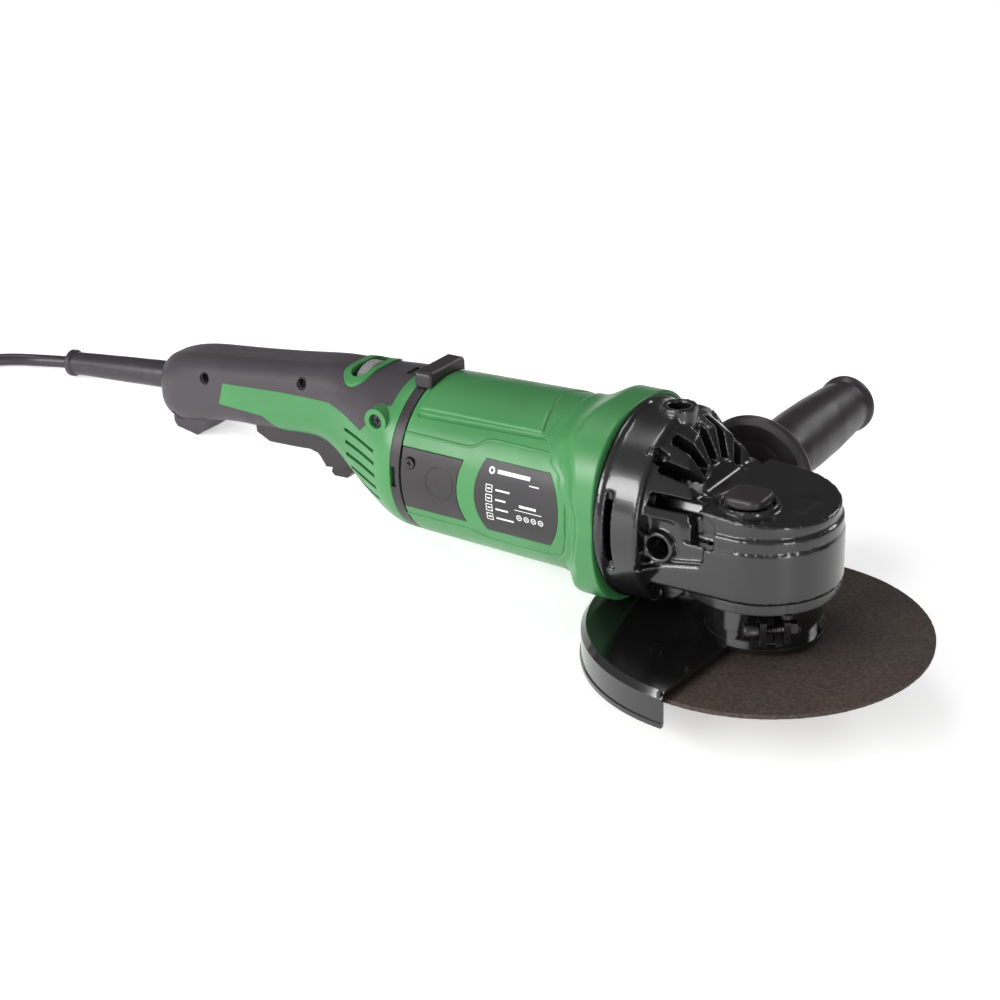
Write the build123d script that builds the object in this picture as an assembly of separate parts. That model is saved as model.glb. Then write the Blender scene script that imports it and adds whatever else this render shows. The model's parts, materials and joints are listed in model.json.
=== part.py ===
"""Two-handed angle grinder with a 180 mm disc, as an assembly of separate sub-parts.

Every sub-part is drawn in the tool frame: the spindle axis is Z, the disc's upper face is z = 0,
+X points to the nose and the motor axis runs along X. tilted() then stands the tool on the rear
edge of its guard and the heel of its rear handle, with the floor at z = 0 in the row frame.
"""

from build123d import *
import os
from math import atan, cos, degrees, pi, radians, sin, tan

os.makedirs("parts", exist_ok=True)

# ---- driving dimensions, in millimetres and degrees ----
DISC_R = 90.0
DISC_T = 2.6
DISC_HOLE_R = 11.1
MOTOR_Z = 61.5
TILT = 11.0
ORIGIN_SHIFT = (158.7, -45.4, 32.2)

GUARD_R = 95.25
GUARD_TOP = 5.3
GUARD_DEPTH = 19.5
GUARD_START = 88.7
GUARD_SPAN = 177.0
SHEET = 2.0

HEAD_BOTTOM = 34.0
HEAD_R = 41.5
FLANGE_R = 54.0
FLANGE_BACK = -70.0
FLANGE_FRONT = -45.0
NECK_R = 27.2
HANDLE_SOCKET_X = -37.8
HANDLE_SOCKET_Z = 56.0
SOCKET_R = 6.0
SOCKET_FACE_Y = 43.5
TOP_SOCKET_X = -49.0
TOP_SOCKET_TOP = 117.0
TOP_SOCKET_DEPTH = 24.5

HOUSING_BACK = -197.0
HOUSING_R_BACK = 45.8
HOUSING_R_FRONT = 48.1
HOUSING_BORE = 43.0
RING_X = (-203.3, -197.3)
RING_R = 45.5

PINION_TEETH = 11
CROWN_TEETH = 37
CONE_TIP = 33.0
CONE_TOE = 20.0

HANDLE_FRONT = -203.7
WALL = 2.8
SKIN = 1.6
TRIGGER_W = 27.0

GRIP_START = 55.5
GRIP_END = 185.25

CORD_D = 7.5
RELIEF_START = (-398.0, 0.0, 70.6)
RELIEF_TIP = (-475.6, -9.3, 68.4)
COIL_CENTRE = (-421.3, -128.0)
COIL_MEAN_R = 41.0
COIL_HALF = 11.8


# ---- small helpers ----
def box(x0, x1, y0, y1, z0, z1):
    middle = Pos((x0 + x1) / 2, (y0 + y1) / 2, (z0 + z1) / 2)
    return middle * Box(abs(x1 - x0), abs(y1 - y0), abs(z1 - z0))


def rod_x(radius, x0, x1, y=0.0, z=MOTOR_Z):
    return Pos((x0 + x1) / 2, y, z) * Rot(0, 90, 0) * Cylinder(radius, abs(x1 - x0))


def rod_y(radius, y0, y1, x, z):
    return Pos(x, (y0 + y1) / 2, z) * Rot(90, 0, 0) * Cylinder(radius, abs(y1 - y0))


def rod_z(radius, z0, z1, x=0.0, y=0.0):
    return Pos(x, y, (z0 + z1) / 2) * Cylinder(radius, abs(z1 - z0))


def turned_z(points, angle=360.0):
    """A solid of revolution about Z, from its (radius, z) outline."""
    profile = Plane.XZ * make_face(Polyline(*points, close=True))
    return revolve(profile, Axis.Z, angle)


def turned_x(points):
    """A solid of revolution about the motor axis, from its (x, radius) outline."""
    profile = Plane.XZ * make_face(Polyline(*points, close=True))
    return Pos(0, 0, MOTOR_Z) * revolve(profile, Axis.X, 360)


def side_prism(points, y0, y1):
    """A prism across the tool, from its outline in the side view as (x, z) points."""
    profile = Plane.XZ * make_face(Polyline(*points, close=True))
    return Pos(0, y1, 0) * extrude(profile, y1 - y0)


def between(start, end, solid_of_length):
    """Places a solid made along +Z from the origin so that it runs from start to end."""
    direction = Vector(*end) - Vector(*start)
    plane = Plane(origin=start, z_dir=direction)
    return plane.location * solid_of_length(direction.length)


def around_motor(shape, angle):
    """Turns a shape about the motor axis; a positive angle takes the top toward -Y."""
    return Pos(0, 0, MOTOR_Z) * Rot(angle, 0, 0) * Pos(0, 0, -MOTOR_Z) * shape


def around_spindle(shape, angle):
    return Rot(0, 0, angle) * shape


def joined(shapes):
    total = shapes[0]
    for shape in shapes[1:]:
        total = total + shape
    return total


def tilted(shape):
    return Pos(*ORIGIN_SHIFT) * Rot(0, -TILT, 0) * shape


def row_point(point):
    """A tool-frame point in the row frame."""
    x, y, z = point
    turn = radians(TILT)
    along = x * cos(turn) - z * sin(turn)
    up = x * sin(turn) + z * cos(turn)
    return (along + ORIGIN_SHIFT[0], y + ORIGIN_SHIFT[1], up + ORIGIN_SHIFT[2])


def floor_z(x):
    """Height of the floor plane in the tool frame."""
    lowest = GUARD_TOP - GUARD_DEPTH
    return lowest - (x + GUARD_R) * tan(radians(TILT))


def write(name, shape):
    """Writes one node; a group of separate solids goes out as one compound."""
    write_in_row_frame(name, tilted(shape))


def write_in_row_frame(name, shape):
    solids = shape.solids()
    export_step(solids[0] if len(solids) == 1 else Compound(children=list(solids)), f"parts/{name}.step")


# ---- disc, spindle and gears ----
def grinding_disc():
    ring = rod_z(DISC_R, -DISC_T, 0) - rod_z(DISC_HOLE_R, -DISC_T - 1, 1)
    return chamfer(ring.edges().filter_by(GeomType.CIRCLE).group_by(SortBy.RADIUS)[-1], 0.4)


def inner_flange():
    ring = rod_z(22.5, 0, 5) + rod_z(DISC_HOLE_R - 0.05, -1.6, 0)
    return ring - rod_z(7.0, -3, 6) - (rod_z(18, -0.1, 0.8) - rod_z(13, -1, 1))


def clamping_nut():
    body = rod_z(19.0, -DISC_T - 5.4, -DISC_T) + rod_z(11.5, -DISC_T - 8.6, -DISC_T - 5.4)
    nut = body - rod_z(7.0, -14, 0)
    for turn in range(4):
        nut = nut - around_spindle(rod_z(2.4, -14, -DISC_T - 2.4, x=15.2), 90 * turn)
    return nut


def spindle():
    body = turned_z([
        (0, -12.6), (6.1, -12.6), (6.95, -11.7), (6.95, 5), (11, 5), (11, 10), (9.4, 10), (9.4, 17),
        (7.45, 17), (7.45, 56), (4.95, 56), (4.95, 71.6), (4.4, 72.2), (0, 72.2),
    ])
    flats = box(-12, 12, 9.2, 12, 5, 9.9) + box(-12, 12, -12, -9.2, 5, 9.9)
    return body - flats


def bevel_tooth(pitch_angle, tip_angle, root_angle, half_tip, half_root):
    """One straight bevel tooth along +X, pointing down, its flanks meeting at the axes' crossing."""
    faces = []
    for distance in (CONE_TOE, CONE_TIP):
        scale = distance / CONE_TIP
        tip = -distance * tan(radians(tip_angle))
        root = -distance * tan(radians(root_angle))
        outline = [
            (-half_root * scale, root), (half_root * scale, root),
            (half_tip * scale, tip), (-half_tip * scale, tip),
        ]
        plane = Plane(origin=(distance, 0, 0), x_dir=(0, 1, 0), z_dir=(1, 0, 0))
        faces.append(plane * make_face(Polyline(*outline, close=True)))
    return loft(faces, ruled=True)


PITCH_ANGLE = degrees(atan(PINION_TEETH / CROWN_TEETH))
ADDENDUM_ANGLE = 2.4
DEDENDUM_ANGLE = 3.6


def crown_gear():
    """Bevel gear on the spindle; its teeth rise toward the pinion on the motor side."""
    root = PITCH_ANGLE + DEDENDUM_ANGLE
    edge_z = MOTOR_Z - CONE_TIP * tan(radians(root))
    toe_z = MOTOR_Z - CONE_TOE * tan(radians(root))
    body = turned_z([
        (7.5, 41), (14, 41), (17, 43.5), (CONE_TIP - 1.5, 43.5), (CONE_TIP, 45), (CONE_TIP, edge_z),
        (CONE_TOE, toe_z), (12.5, toe_z), (12.5, 54.6), (7.5, 54.6),
    ])
    parts = [body]
    for index in range(CROWN_TEETH):
        tooth = bevel_tooth(PITCH_ANGLE, PITCH_ANGLE - ADDENDUM_ANGLE, root + 0.3, 0.6, 1.25)
        turn = 180.0 + (index + 0.5) * 360.0 / CROWN_TEETH
        parts.append(around_spindle(Pos(0, 0, MOTOR_Z) * tooth, turn))
    return joined(parts)


def pinion():
    """Bevel pinion on the armature shaft, with its teeth around the motor axis."""
    root = PITCH_ANGLE - DEDENDUM_ANGLE
    body = turned_x([
        (-CONE_TIP, 5.05), (-CONE_TIP, CONE_TIP * tan(radians(root))),
        (-CONE_TOE, CONE_TOE * tan(radians(root))), (-CONE_TOE, 4.05), (-CONE_TIP + 4, 4.05),
        (-CONE_TIP + 4, 5.05),
    ])
    parts = [body]
    for index in range(PINION_TEETH):
        tooth = bevel_tooth(PITCH_ANGLE, PITCH_ANGLE + ADDENDUM_ANGLE, root - 0.8, 0.6, 1.25)
        upright = Pos(0, 0, MOTOR_Z) * Rot(0, 0, 180) * tooth
        parts.append(around_motor(upright, index * 360.0 / PINION_TEETH))
    return joined(parts)


def ball_bearing(axis, outer, inner, low, high):
    """A sealed bearing drawn as one ring with grooved faces."""
    make = rod_z if axis == "z" else rod_x
    ring = make(outer, low, high) - make(inner, low - 1, high + 1)
    band = (outer - inner) / 4
    for start, end in ((low - 0.1, low + 0.5), (high - 0.5, high + 0.1)):
        ring = ring - (make(outer - band, start, end) - make(inner + band, start, end))
    return ring


# ---- armature ----
def armature_shaft():
    return turned_x([
        (-208, 0), (-208, 3.95), (-199, 3.95), (-199, 5.95), (-40.5, 5.95), (-40.5, 5.0),
        (-CONE_TIP + 4, 5.0), (-CONE_TIP + 4, 4.0), (-13.2, 4.0), (-12.6, 3.4), (-12.6, 0),
    ])


def pinion_nut():
    nut = Pos(-16.6, 0, MOTOR_Z) * Rot(0, 90, 0) * extrude(RegularPolygon(6.2, 6), 4.6, both=False)
    nut = Pos(-1.2, 0, 0) * nut
    return nut - rod_x(4.02, -22, -10)


def fan():
    hub = rod_x(12, -84, -72) - rod_x(5.97, -90, -60)
    plate = rod_x(41, -84, -82) - rod_x(11, -90, -60)
    parts = [hub, plate]
    blades = 14
    for index in range(blades):
        blade = box(-82.2, -73.5, -0.8, 0.8, MOTOR_Z + 17, MOTOR_Z + 40.5)
        parts.append(around_motor(blade, index * 360.0 / blades))
    return joined(parts)


def armature_core():
    core = rod_x(25, -156, -102) - rod_x(5.97, -160, -98)
    slots = 16
    for index in range(slots):
        slot = box(-158, -100, -1.1, 1.1, MOTOR_Z + 15, MOTOR_Z + 27)
        core = core - around_motor(slot, index * 360.0 / slots)
    return core


def armature_windings():
    front = turned_x([(-101.9, 8), (-101.9, 22.5), (-97, 22), (-92.5, 17), (-92.5, 8)])
    back = turned_x([(-156.1, 8), (-156.1, 22.5), (-161, 22), (-168, 17.5), (-168, 8)])
    return Compound(children=[front.solid(), back.solid()])


def commutator():
    body = rod_x(17.5, -192, -173) + rod_x(19.5, -173, -170)
    body = body - rod_x(5.97, -200, -160)
    bars = 32
    for index in range(bars):
        groove = box(-193, -172.9, -0.25, 0.25, MOTOR_Z + 16.7, MOTOR_Z + 18)
        body = body - around_motor(groove, index * 360.0 / bars)
    return body


# ---- motor housing and what it holds ----
def housing_outline(extra):
    """Outer outline of the motor housing grown by extra, as (x, radius) points."""
    return [
        (HOUSING_BACK, HOUSING_R_BACK - 1.0 + extra), (HOUSING_BACK + 1.0, HOUSING_R_BACK + extra),
        (-92, HOUSING_R_FRONT + extra), (-87, HOUSING_R_FRONT - 0.3 + extra), (-83, 49.0 + extra),
        (-79, 51.2 + extra), (-75.5, 53.2 + extra), (-72, FLANGE_R + extra),
        (FLANGE_BACK, FLANGE_R + extra),
    ]


def skin_band(depth, proud):
    """The housing's outer skin from depth below its surface to proud above it."""
    outside = housing_outline(proud)
    outer = turned_x([(HOUSING_BACK, 0)] + outside + [(FLANGE_BACK, 0)])
    inside = housing_outline(-depth)
    inner = turned_x([(HOUSING_BACK - 1, 0), (HOUSING_BACK - 1, inside[0][1])] + inside
                     + [(FLANGE_BACK + 1, inside[-1][1]), (FLANGE_BACK + 1, 0)])
    return outer - inner


def plate_outline(side):
    """Side outline of the rating plate: straight top and bottom, bowed ends."""
    low, high, back, front, bow = 43.0, 83.5, -141.5, -101.5, 5.5
    middle = (low + high) / 2
    edges = [
        Line((back, high), (front, high)),
        ThreePointArc((front, high), (front + bow + 2, middle), (front, low)),
        Line((front, low), (back, low)),
        ThreePointArc((back, low), (back - bow, middle), (back, high)),
    ]
    face = Plane.XZ * make_face(edges)
    reach = 30.0 * side
    return Pos(0, 30.0 * side, 0) * extrude(face, -reach)


def cover_outline(side, margin):
    """Side outline of a brush cover: square at the back, bowed inward at the front."""
    low, high = 44.5 - margin, 80.0 + margin
    back, front = HOUSING_BACK - 1.0, -155.5 + margin
    edges = [
        Line((back, high), (front, high)),
        ThreePointArc((front, high), (front - 3.0, (low + high) / 2 + 1), (front + 1.0, low)),
        Line((front + 1.0, low), (back, low)),
        Line((back, low), (back, high)),
    ]
    face = Plane.XZ * make_face(edges)
    reach = 34.0 * side
    return Pos(0, 27.0 * side, 0) * extrude(face, -reach)


COVER_SCREW_X = -189.5
COVER_SCREW_Z = 72.0
BRUSH_X = -182.0


def brush_cover(side):
    """Inlaid cover over one brush, with a counterbored screw hole and a round raised mark."""
    panel = skin_band(1.8, 0.25) & cover_outline(side, -0.25)
    panel = panel - box(HOUSING_BACK - 5, HOUSING_BACK + 1.6, 20 * side, 60 * side, 0, 120)
    panel = panel - rod_y(3.4, 38 * side, 50 * side, COVER_SCREW_X, COVER_SCREW_Z)
    mark_x = -169.5
    mark = rod_y(9.5, 40 * side, 60 * side, mark_x, 64.5) - rod_y(8.6, 30 * side, 61 * side, mark_x, 64.5)
    return panel - (mark & skin_band(-0.05, 0.6))


def rating_plate(side):
    return skin_band(0.7, 0.2) & plate_outline(side)


def motor_housing():
    outer = turned_x([(HOUSING_BACK, 0)] + housing_outline(0) + [(FLANGE_BACK, 0)])
    neck = rod_x(38.4, -213.6, HOUSING_BACK) + rod_x(41.0, -213.6, -210.4)
    shell = outer + neck
    shell = shell - turned_x([
        (-195, 0), (-195, HOUSING_BORE - 1.5), (-192, HOUSING_BORE), (-88, HOUSING_BORE),
        (-82, 46.5), (-73, 49.6), (-69, 49.6), (-69, 0),
    ])
    shell = shell - rod_x(35.4, -214, -200)
    shell = shell + rod_x(14, -207.6, -194)
    shell = shell - rod_x(11.05, -215, -199.4) - rod_x(6.6, -215, -190)
    for index in range(4):
        window = box(-205, -190, -9, 9, MOTOR_Z + 17, MOTOR_Z + 33)
        shell = shell - around_motor(window, 45 + 90 * index)
    for side in (-1, 1):
        shell = shell - (skin_band(0.75, 3) & plate_outline(side))
        shell = shell - (skin_band(1.85, 3) & cover_outline(side, 0))
        shell = shell - box(BRUSH_X - 8.2, BRUSH_X + 8.2, 30 * side, 50 * side, MOTOR_Z - 7.2, MOTOR_Z + 7.2)
        shell = shell - rod_y(1.5, 36 * side, 50 * side, COVER_SCREW_X, COVER_SCREW_Z)
        upper_crease = box(-192, -90, 30.4 * side, 32.2 * side, 94.0, 100.0)
        shell = shell - (upper_crease & skin_band(0.5, 3))
    for x, z in flange_screw_places():
        for side in (-1, 1):
            shell = shell - rod_x(2.2, -77.4, -60, y=side * x, z=z)
    return shell


def flange_screw_places():
    """Corner screws of the gear head's flange, as (half spacing, height)."""
    reach = 48.6
    return [
        (reach * sin(radians(angle)), MOTOR_Z + reach * cos(radians(angle)))
        for angle in (38, 142)
    ]


def rotation_ring():
    ring = rod_x(RING_R, *RING_X) - rod_x(38.7, RING_X[0] - 1, RING_X[1] + 1)
    for angle in (-90, 0, 90):
        notch = box(RING_X[0] - 1, -199.8, -6, 6, MOTOR_Z + 42.2, MOTOR_Z + 50)
        ring = ring - around_motor(notch, angle)
    return ring


def air_baffle():
    ring = rod_x(42.8, -92, -88.2) - rod_x(29, -99, -80)
    return ring + (rod_x(32, -95.5, -92) - rod_x(29, -99, -80))


def sector_x(inner, outer, x0, x1, centre, half):
    """Part of a ring about the motor axis; centre and half are angles from the top."""
    points = [(0, 0)]
    steps = 8
    reach = outer * 1.6
    for index in range(steps + 1):
        angle = radians(centre - half + 2 * half * index / steps)
        points.append((reach * sin(angle), reach * cos(angle)))
    plane = Plane(origin=(x0, 0, MOTOR_Z), x_dir=(0, 1, 0), z_dir=(1, 0, 0))
    wedge = extrude(plane * make_face(Polyline(*points, close=True)), x1 - x0)
    ring = rod_x(outer, x0, x1) - rod_x(inner, x0 - 1, x1 + 1)
    return ring & wedge


def stator_core():
    """Laminated two-pole field core."""
    core = rod_x(42.8, -156, -102) - rod_x(34.2, -160, -98)
    for centre in (0, 180):
        core = core + sector_x(26.0, 34.6, -156, -102, centre, 38)
    return core


def field_coils():
    """One coil round each pole: two side bundles and two end turns."""
    coils = []
    for centre in (0, 180):
        frame = sector_x(27.0, 33.4, -166, -97, centre, 66)
        opening = sector_x(26.0, 35.0, -157, -101, centre, 41)
        coils.append((frame - opening).solid())
    return Compound(children=coils)


def brush_holders():
    tubes = []
    for side in (-1, 1):
        tube = box(BRUSH_X - 6, BRUSH_X + 6, 19.2 * side, 41.5 * side, MOTOR_Z - 5, MOTOR_Z + 5)
        bore = box(BRUSH_X - 5, BRUSH_X + 5, 15 * side, 45 * side, MOTOR_Z - 3.2, MOTOR_Z + 3.2)
        tubes.append((tube - bore).solid())
    return Compound(children=tubes)


def carbon_brushes():
    blocks = []
    for side in (-1, 1):
        block = box(BRUSH_X - 4.9, BRUSH_X + 4.9, 16.5 * side, 31 * side, MOTOR_Z - 3.1, MOTOR_Z + 3.1)
        blocks.append((block - rod_x(17.6, -200, -160)).solid())
    return Compound(children=blocks)


def coil_spring(radius, wire, height, turns):
    """An open helical spring along +Z from the origin."""
    path = Helix(pitch=(height - wire) / turns, height=height - wire, radius=radius)
    section = Plane(origin=path @ 0, z_dir=path % 0) * Circle(wire / 2)
    return Pos(0, 0, wire / 2) * sweep(section, path=path, is_frenet=True)


def brush_springs():
    springs = []
    for side in (-1, 1):
        spring = coil_spring(2.3, 0.6, 9.6, 6)
        springs.append((Pos(BRUSH_X, 31.1 * side, MOTOR_Z) * Rot(-90 * side, 0, 0) * spring).solid())
    return Compound(children=springs)


def pan_screw(length, shank, head):
    """A screw pointing along -Z with its head's underside at the origin and a cross recess."""
    body = rod_z(shank, -length, 0) + rod_z(head, 0, head * 0.75)
    recess = box(-head * 0.6, head * 0.6, -0.4, 0.4, head * 0.35, head)
    return body - recess - Rot(0, 0, 90) * recess


def brush_cover_screws():
    screws = []
    for side in (-1, 1):
        screw = pan_screw(6.0, 1.45, 2.9)
        place = Pos(COVER_SCREW_X, 43.6 * side, COVER_SCREW_Z) * Rot(-90 * side, 0, 0)
        screws.append((place * screw).solid())
    return Compound(children=screws)


# ---- gear head ----
def top_z(x):
    """Height of the head's sloping top plate."""
    return 75.8 + (34.0 - x) * 0.0724


def tier(radius, low, high):
    """One tier of the nose: a half disc ahead of the spindle and straight flanks behind it."""
    return rod_z(radius, low, high) + box(-47, 0, -radius, radius, low, high)


def gear_housing():
    flange = rod_x(FLANGE_R, FLANGE_BACK, -66.5) + rod_x(FLANGE_R - 1.2, -66.5, FLANGE_FRONT)
    flange = chamfer(flange.edges().filter_by(GeomType.CIRCLE).group_by(Axis.X)[-1], 1.4)
    dome = turned_x([(-47, 0), (-47, 50.5), (-22, 37), (-22, 0)])
    dome = dome - box(-80, 0, -80, 80, -20, HEAD_BOTTOM)
    slope = side_prism([(-23.5, 70), (-23.5, 80.5), (-38.5, 113), (-38.5, 140), (40, 140), (40, 70)], -80, 80)
    dome = dome - slope
    nose = joined([
        tier(HEAD_R, HEAD_BOTTOM, 61.5),
        tier(HEAD_R - 1.3, 61.5, 63.0),
        tier(HEAD_R - 0.6, 63.0, 69.0),
        tier(HEAD_R - 2.6, 69.0, 71.0),
        tier(HEAD_R - 2.0, 71.0, 90.0),
    ])
    above_top = side_prism([(60, top_z(60)), (-60, top_z(-60)), (-60, 130), (60, 130)], -80, 80)
    nose = nose - above_top
    shoulder = side_prism([(-47, 60), (-47, 95), (-8, 74), (-8, 60)], 30, 50)
    nose = nose - shoulder - mirror(shoulder, Plane.XZ)
    body = flange + dome + nose
    body = body + rod_z(9.5, 100, TOP_SOCKET_TOP, x=TOP_SOCKET_X)
    body = body + rod_z(15.5, 74, 80.4, y=LOCK_Y)
    for side in (-1, 1):
        body = body - side_prism([(-45.0, 74), (-45.0, 47), (-13, 52.5), (-13, 65)], *side_span(side, 39.5, 60))
        boss = rod_y(8.6, 36 * side, SOCKET_FACE_Y * side, HANDLE_SOCKET_X, HANDLE_SOCKET_Z)
        body = body + boss
        body = body - box(-64.5, -60.5, 46 * side, 60 * side, 40, 84)
        body = body - side_prism(
            [(-47, 45.2), (-47, 43.4), (-14, 49.2), (-14, 51.0)], *side_span(side, 39.8, 60))
    return hollow_head(body)


def side_span(side, near, far):
    """The (low, high) Y span from near to far on one side."""
    return (near, far) if side > 0 else (-far, -near)


def hollow_head(body):
    """Cuts the gear chamber, the bearing seats, the air plenum and its outlet slots."""
    body = body - rod_z(36.5, HEAD_BOTTOM - 1, 59.5)
    body = body - rod_x(13.2, -39, -6)
    body = body - rod_x(16.05, -53, -39.9) - rod_x(13.0, -41, -36)
    body = body - rod_z(8.02, 56, 72.6)
    plenum = turned_x([(-71, 20.5), (-71, 49.4), (-66, 49.4), (-48, 44.5), (-48, 20.5)])
    body = body - plenum - rod_x(21, -71, -53)
    for index in range(-3, 4):
        slot = box(-52, -20, -3.6, 3.6, MOTOR_Z + 27, MOTOR_Z + 47.5)
        body = body - around_motor(slot, 21.5 * index)
    for side in (-1, 1):
        socket = rod_y(SOCKET_R, 22 * side, 60 * side, HANDLE_SOCKET_X, HANDLE_SOCKET_Z)
        body = body + rod_y(9.0, 22 * side, 36.6 * side, HANDLE_SOCKET_X, HANDLE_SOCKET_Z)
        body = body - socket
        for x, z in flange_screw_places():
            body = body - rod_x(2.3, -72, -40, y=side * x, z=z)
            body = body - rod_x(4.2, -49, -40, y=side * x, z=z)
    body = body + rod_z(9.5, TOP_SOCKET_TOP - TOP_SOCKET_DEPTH, 112, x=TOP_SOCKET_X)
    body = body - rod_z(SOCKET_R, TOP_SOCKET_TOP - TOP_SOCKET_DEPTH, 130, x=TOP_SOCKET_X)
    body = body - rod_z(4.05, 56, 90, y=LOCK_PIN_Y) - rod_z(13.4, 76.8, 90, y=LOCK_Y)
    for turn in range(4):
        body = body - around_spindle(rod_z(1.7, HEAD_BOTTOM - 1, 46, x=38.9), 45 + 90 * turn)
    arrow = side_arrow()
    return body - arrow


def side_arrow():
    """A shallow direction arrow engraved in the top plate ahead of the spindle."""
    outline = [(21, -10), (27, -10), (27, 5), (31, 5), (24, 13), (17, 5), (21, 5)]
    prism = Pos(0, 0, 70) * extrude(make_face(Polyline(*outline, close=True)), 20)
    below = side_prism([(60, top_z(60) - 0.5), (-60, top_z(-60) - 0.5), (-60, 0), (60, 0)], -80, 80)
    return prism - below


def bearing_flange():
    """Plate under the head with the neck that the guard clamps to."""
    plate = rod_z(HEAD_R - 0.6, 28.6, HEAD_BOTTOM) + rod_z(36.3, HEAD_BOTTOM, 37)
    neck = rod_z(NECK_R, 6.2, 28.6)
    body = plate + neck
    body = body - rod_z(17.55, 18, 29.1) - rod_z(13, 5, 40) - rod_z(31, 31, 38)
    body = body - rod_z(15.5, 28, 32)
    for turn in range(4):
        body = body - around_spindle(rod_z(1.75, 20, 40, x=38.9), 45 + 90 * turn)
    return body


def bearing_flange_screws():
    screws = []
    for turn in range(4):
        screw = Pos(38.9, 0, 28.6) * Rot(180, 0, 0) * pan_screw(16.0, 1.65, 3.2)
        screws.append(around_spindle(screw, 45 + 90 * turn).solid())
    return Compound(children=screws)


def flange_screws():
    screws = []
    for side in (-1, 1):
        for x, z in flange_screw_places():
            screw = Pos(-49, side * x, z) * Rot(0, 90, 0) * pan_screw(27.0, 2.15, 3.9)
            screws.append(screw.solid())
    return Compound(children=screws)


# ---- spindle lock ----
LOCK_Y = -17.5
LOCK_PIN_Y = -15.6
LOCK_CAP = 21.6


def lock_button():
    cap = Pos(0, LOCK_Y, 80.9) * extrude(RectangleRounded(LOCK_CAP, LOCK_CAP, 6.0), 3.7)
    cap = fillet(cap.edges().group_by(Axis.Z)[-1], 1.6)
    skirt = rod_z(11.6, 80.2, 81.2, y=LOCK_Y)
    return cap + skirt - rod_z(4.0, 79, 82.5, y=LOCK_PIN_Y)


def lock_pin():
    return rod_z(3.97, 58.6, 82.5, y=LOCK_PIN_Y)


def lock_spring():
    return Pos(0, LOCK_Y, 77.0) * coil_spring(7.0, 1.0, 3.0, 1.5)


# ---- guard ----
def guard_shell():
    low = GUARD_TOP - GUARD_DEPTH
    outer = GUARD_R
    sheet = turned_z([
        (31.0, GUARD_TOP - SHEET), (outer - 4.5, GUARD_TOP - SHEET), (outer - SHEET - 0.8, 1.6),
        (outer - SHEET - 0.8, low + 1.6), (outer - SHEET, low), (outer, low),
        (outer, low + 2.4), (outer - 0.8, low + 3.2), (outer - 0.8, 1.8), (outer - 3.6, GUARD_TOP),
        (31.0, GUARD_TOP),
    ], GUARD_SPAN)
    sheet = around_spindle(sheet, GUARD_START)
    ring = rod_z(33.4, GUARD_TOP - SHEET, GUARD_TOP) - rod_z(NECK_R + 0.35, 0, 20)
    collar = rod_z(NECK_R + 2.35, GUARD_TOP - SHEET, 25.0) - rod_z(NECK_R + 0.35, 0, 30)
    gap = around_spindle(box(20, 40, -2.2, 2.2, GUARD_TOP, 40), -54)
    end_flare = joined([
        around_spindle(box(NECK_R + 4, outer - 0.9, -1.0, 1.0, low + 6, GUARD_TOP - 0.1), angle)
        for angle in (GUARD_START + 1.2, GUARD_START + GUARD_SPAN - 1.2)
    ])
    end_flare = end_flare - rod_z(DISC_R + 1.6, low - 1, GUARD_TOP - SHEET)
    return sheet + ring + (collar - gap) + end_flare


BAND_R = NECK_R + 2.45
EAR_GAP = 9.0


def guard_clamp_band():
    band = rod_z(BAND_R + 2.0, 12.5, 24.5) - rod_z(BAND_R, 10, 30)
    band = band - box(20, 50, -EAR_GAP / 2, EAR_GAP / 2, 10, 30)
    for side in (-1, 1):
        low, high = sorted((side * EAR_GAP / 2, side * (EAR_GAP / 2 + 3.2)))
        ear = box(BAND_R, 41.5, low, high, 12.5, 24.5) - rod_z(BAND_R + 0.2, 0, 30)
        band = band + ear
    band = band - rod_y(2.6, -20, 20, 36.5, 18.5)
    return around_spindle(band, -54)


def guard_clamp_bolt():
    shank = rod_y(2.5, -15.5, 13.5, 36.5, 18.5)
    head = rod_y(4.4, -15.5, -EAR_GAP / 2 - 3.25, 36.5, 18.5)
    socket = rod_y(2.2, -16, -12.5, 36.5, 18.5)
    return around_spindle(shank + head - socket, -54)


def guard_clamp_nut():
    nut = Pos(36.5, EAR_GAP / 2 + 3.25, 18.5) * Rot(-90, 0, 0) * extrude(RegularPolygon(4.6, 6), 4.0)
    return around_spindle(nut - rod_y(2.5, 0, 20, 36.5, 18.5), -54)


# ---- side handle ----
def side_handle_grip():
    """Turned grip with a hand guard, a concave inner face and a rimmed end."""
    points = [
        (7.3, GRIP_START), (11.0, GRIP_START), (12.6, 58.5), (21, 61.8), (29.0, 63.0), (32.0, 65.0),
        (33.2, 67.4), (32.4, 69.4), (27.0, 70.4), (19.5, 73.0), (16.6, 77.5), (16.4, 84), (18.2, 100),
        (18.6, 120), (18.0, 145), (16.6, 168), (15.4, 180), (16.4, 181.6), (17.2, 183.0),
        (17.2, GRIP_END), (12.0, GRIP_END + 0.9), (0, GRIP_END + 1.2), (0, 110), (6.05, 110),
        (6.05, GRIP_START + 9), (7.3, GRIP_START + 9),
    ]
    body = Pos(HANDLE_SOCKET_X, 0, HANDLE_SOCKET_Z) * Rot(-90, 0, 0) * turned_z(points)
    return body


def side_handle_stud():
    shank = rod_y(5.95, 29, 109, HANDLE_SOCKET_X, HANDLE_SOCKET_Z)
    collar = rod_y(7.1, SOCKET_FACE_Y + 0.1, GRIP_START + 8.9, HANDLE_SOCKET_X, HANDLE_SOCKET_Z)
    return shank + collar


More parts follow.
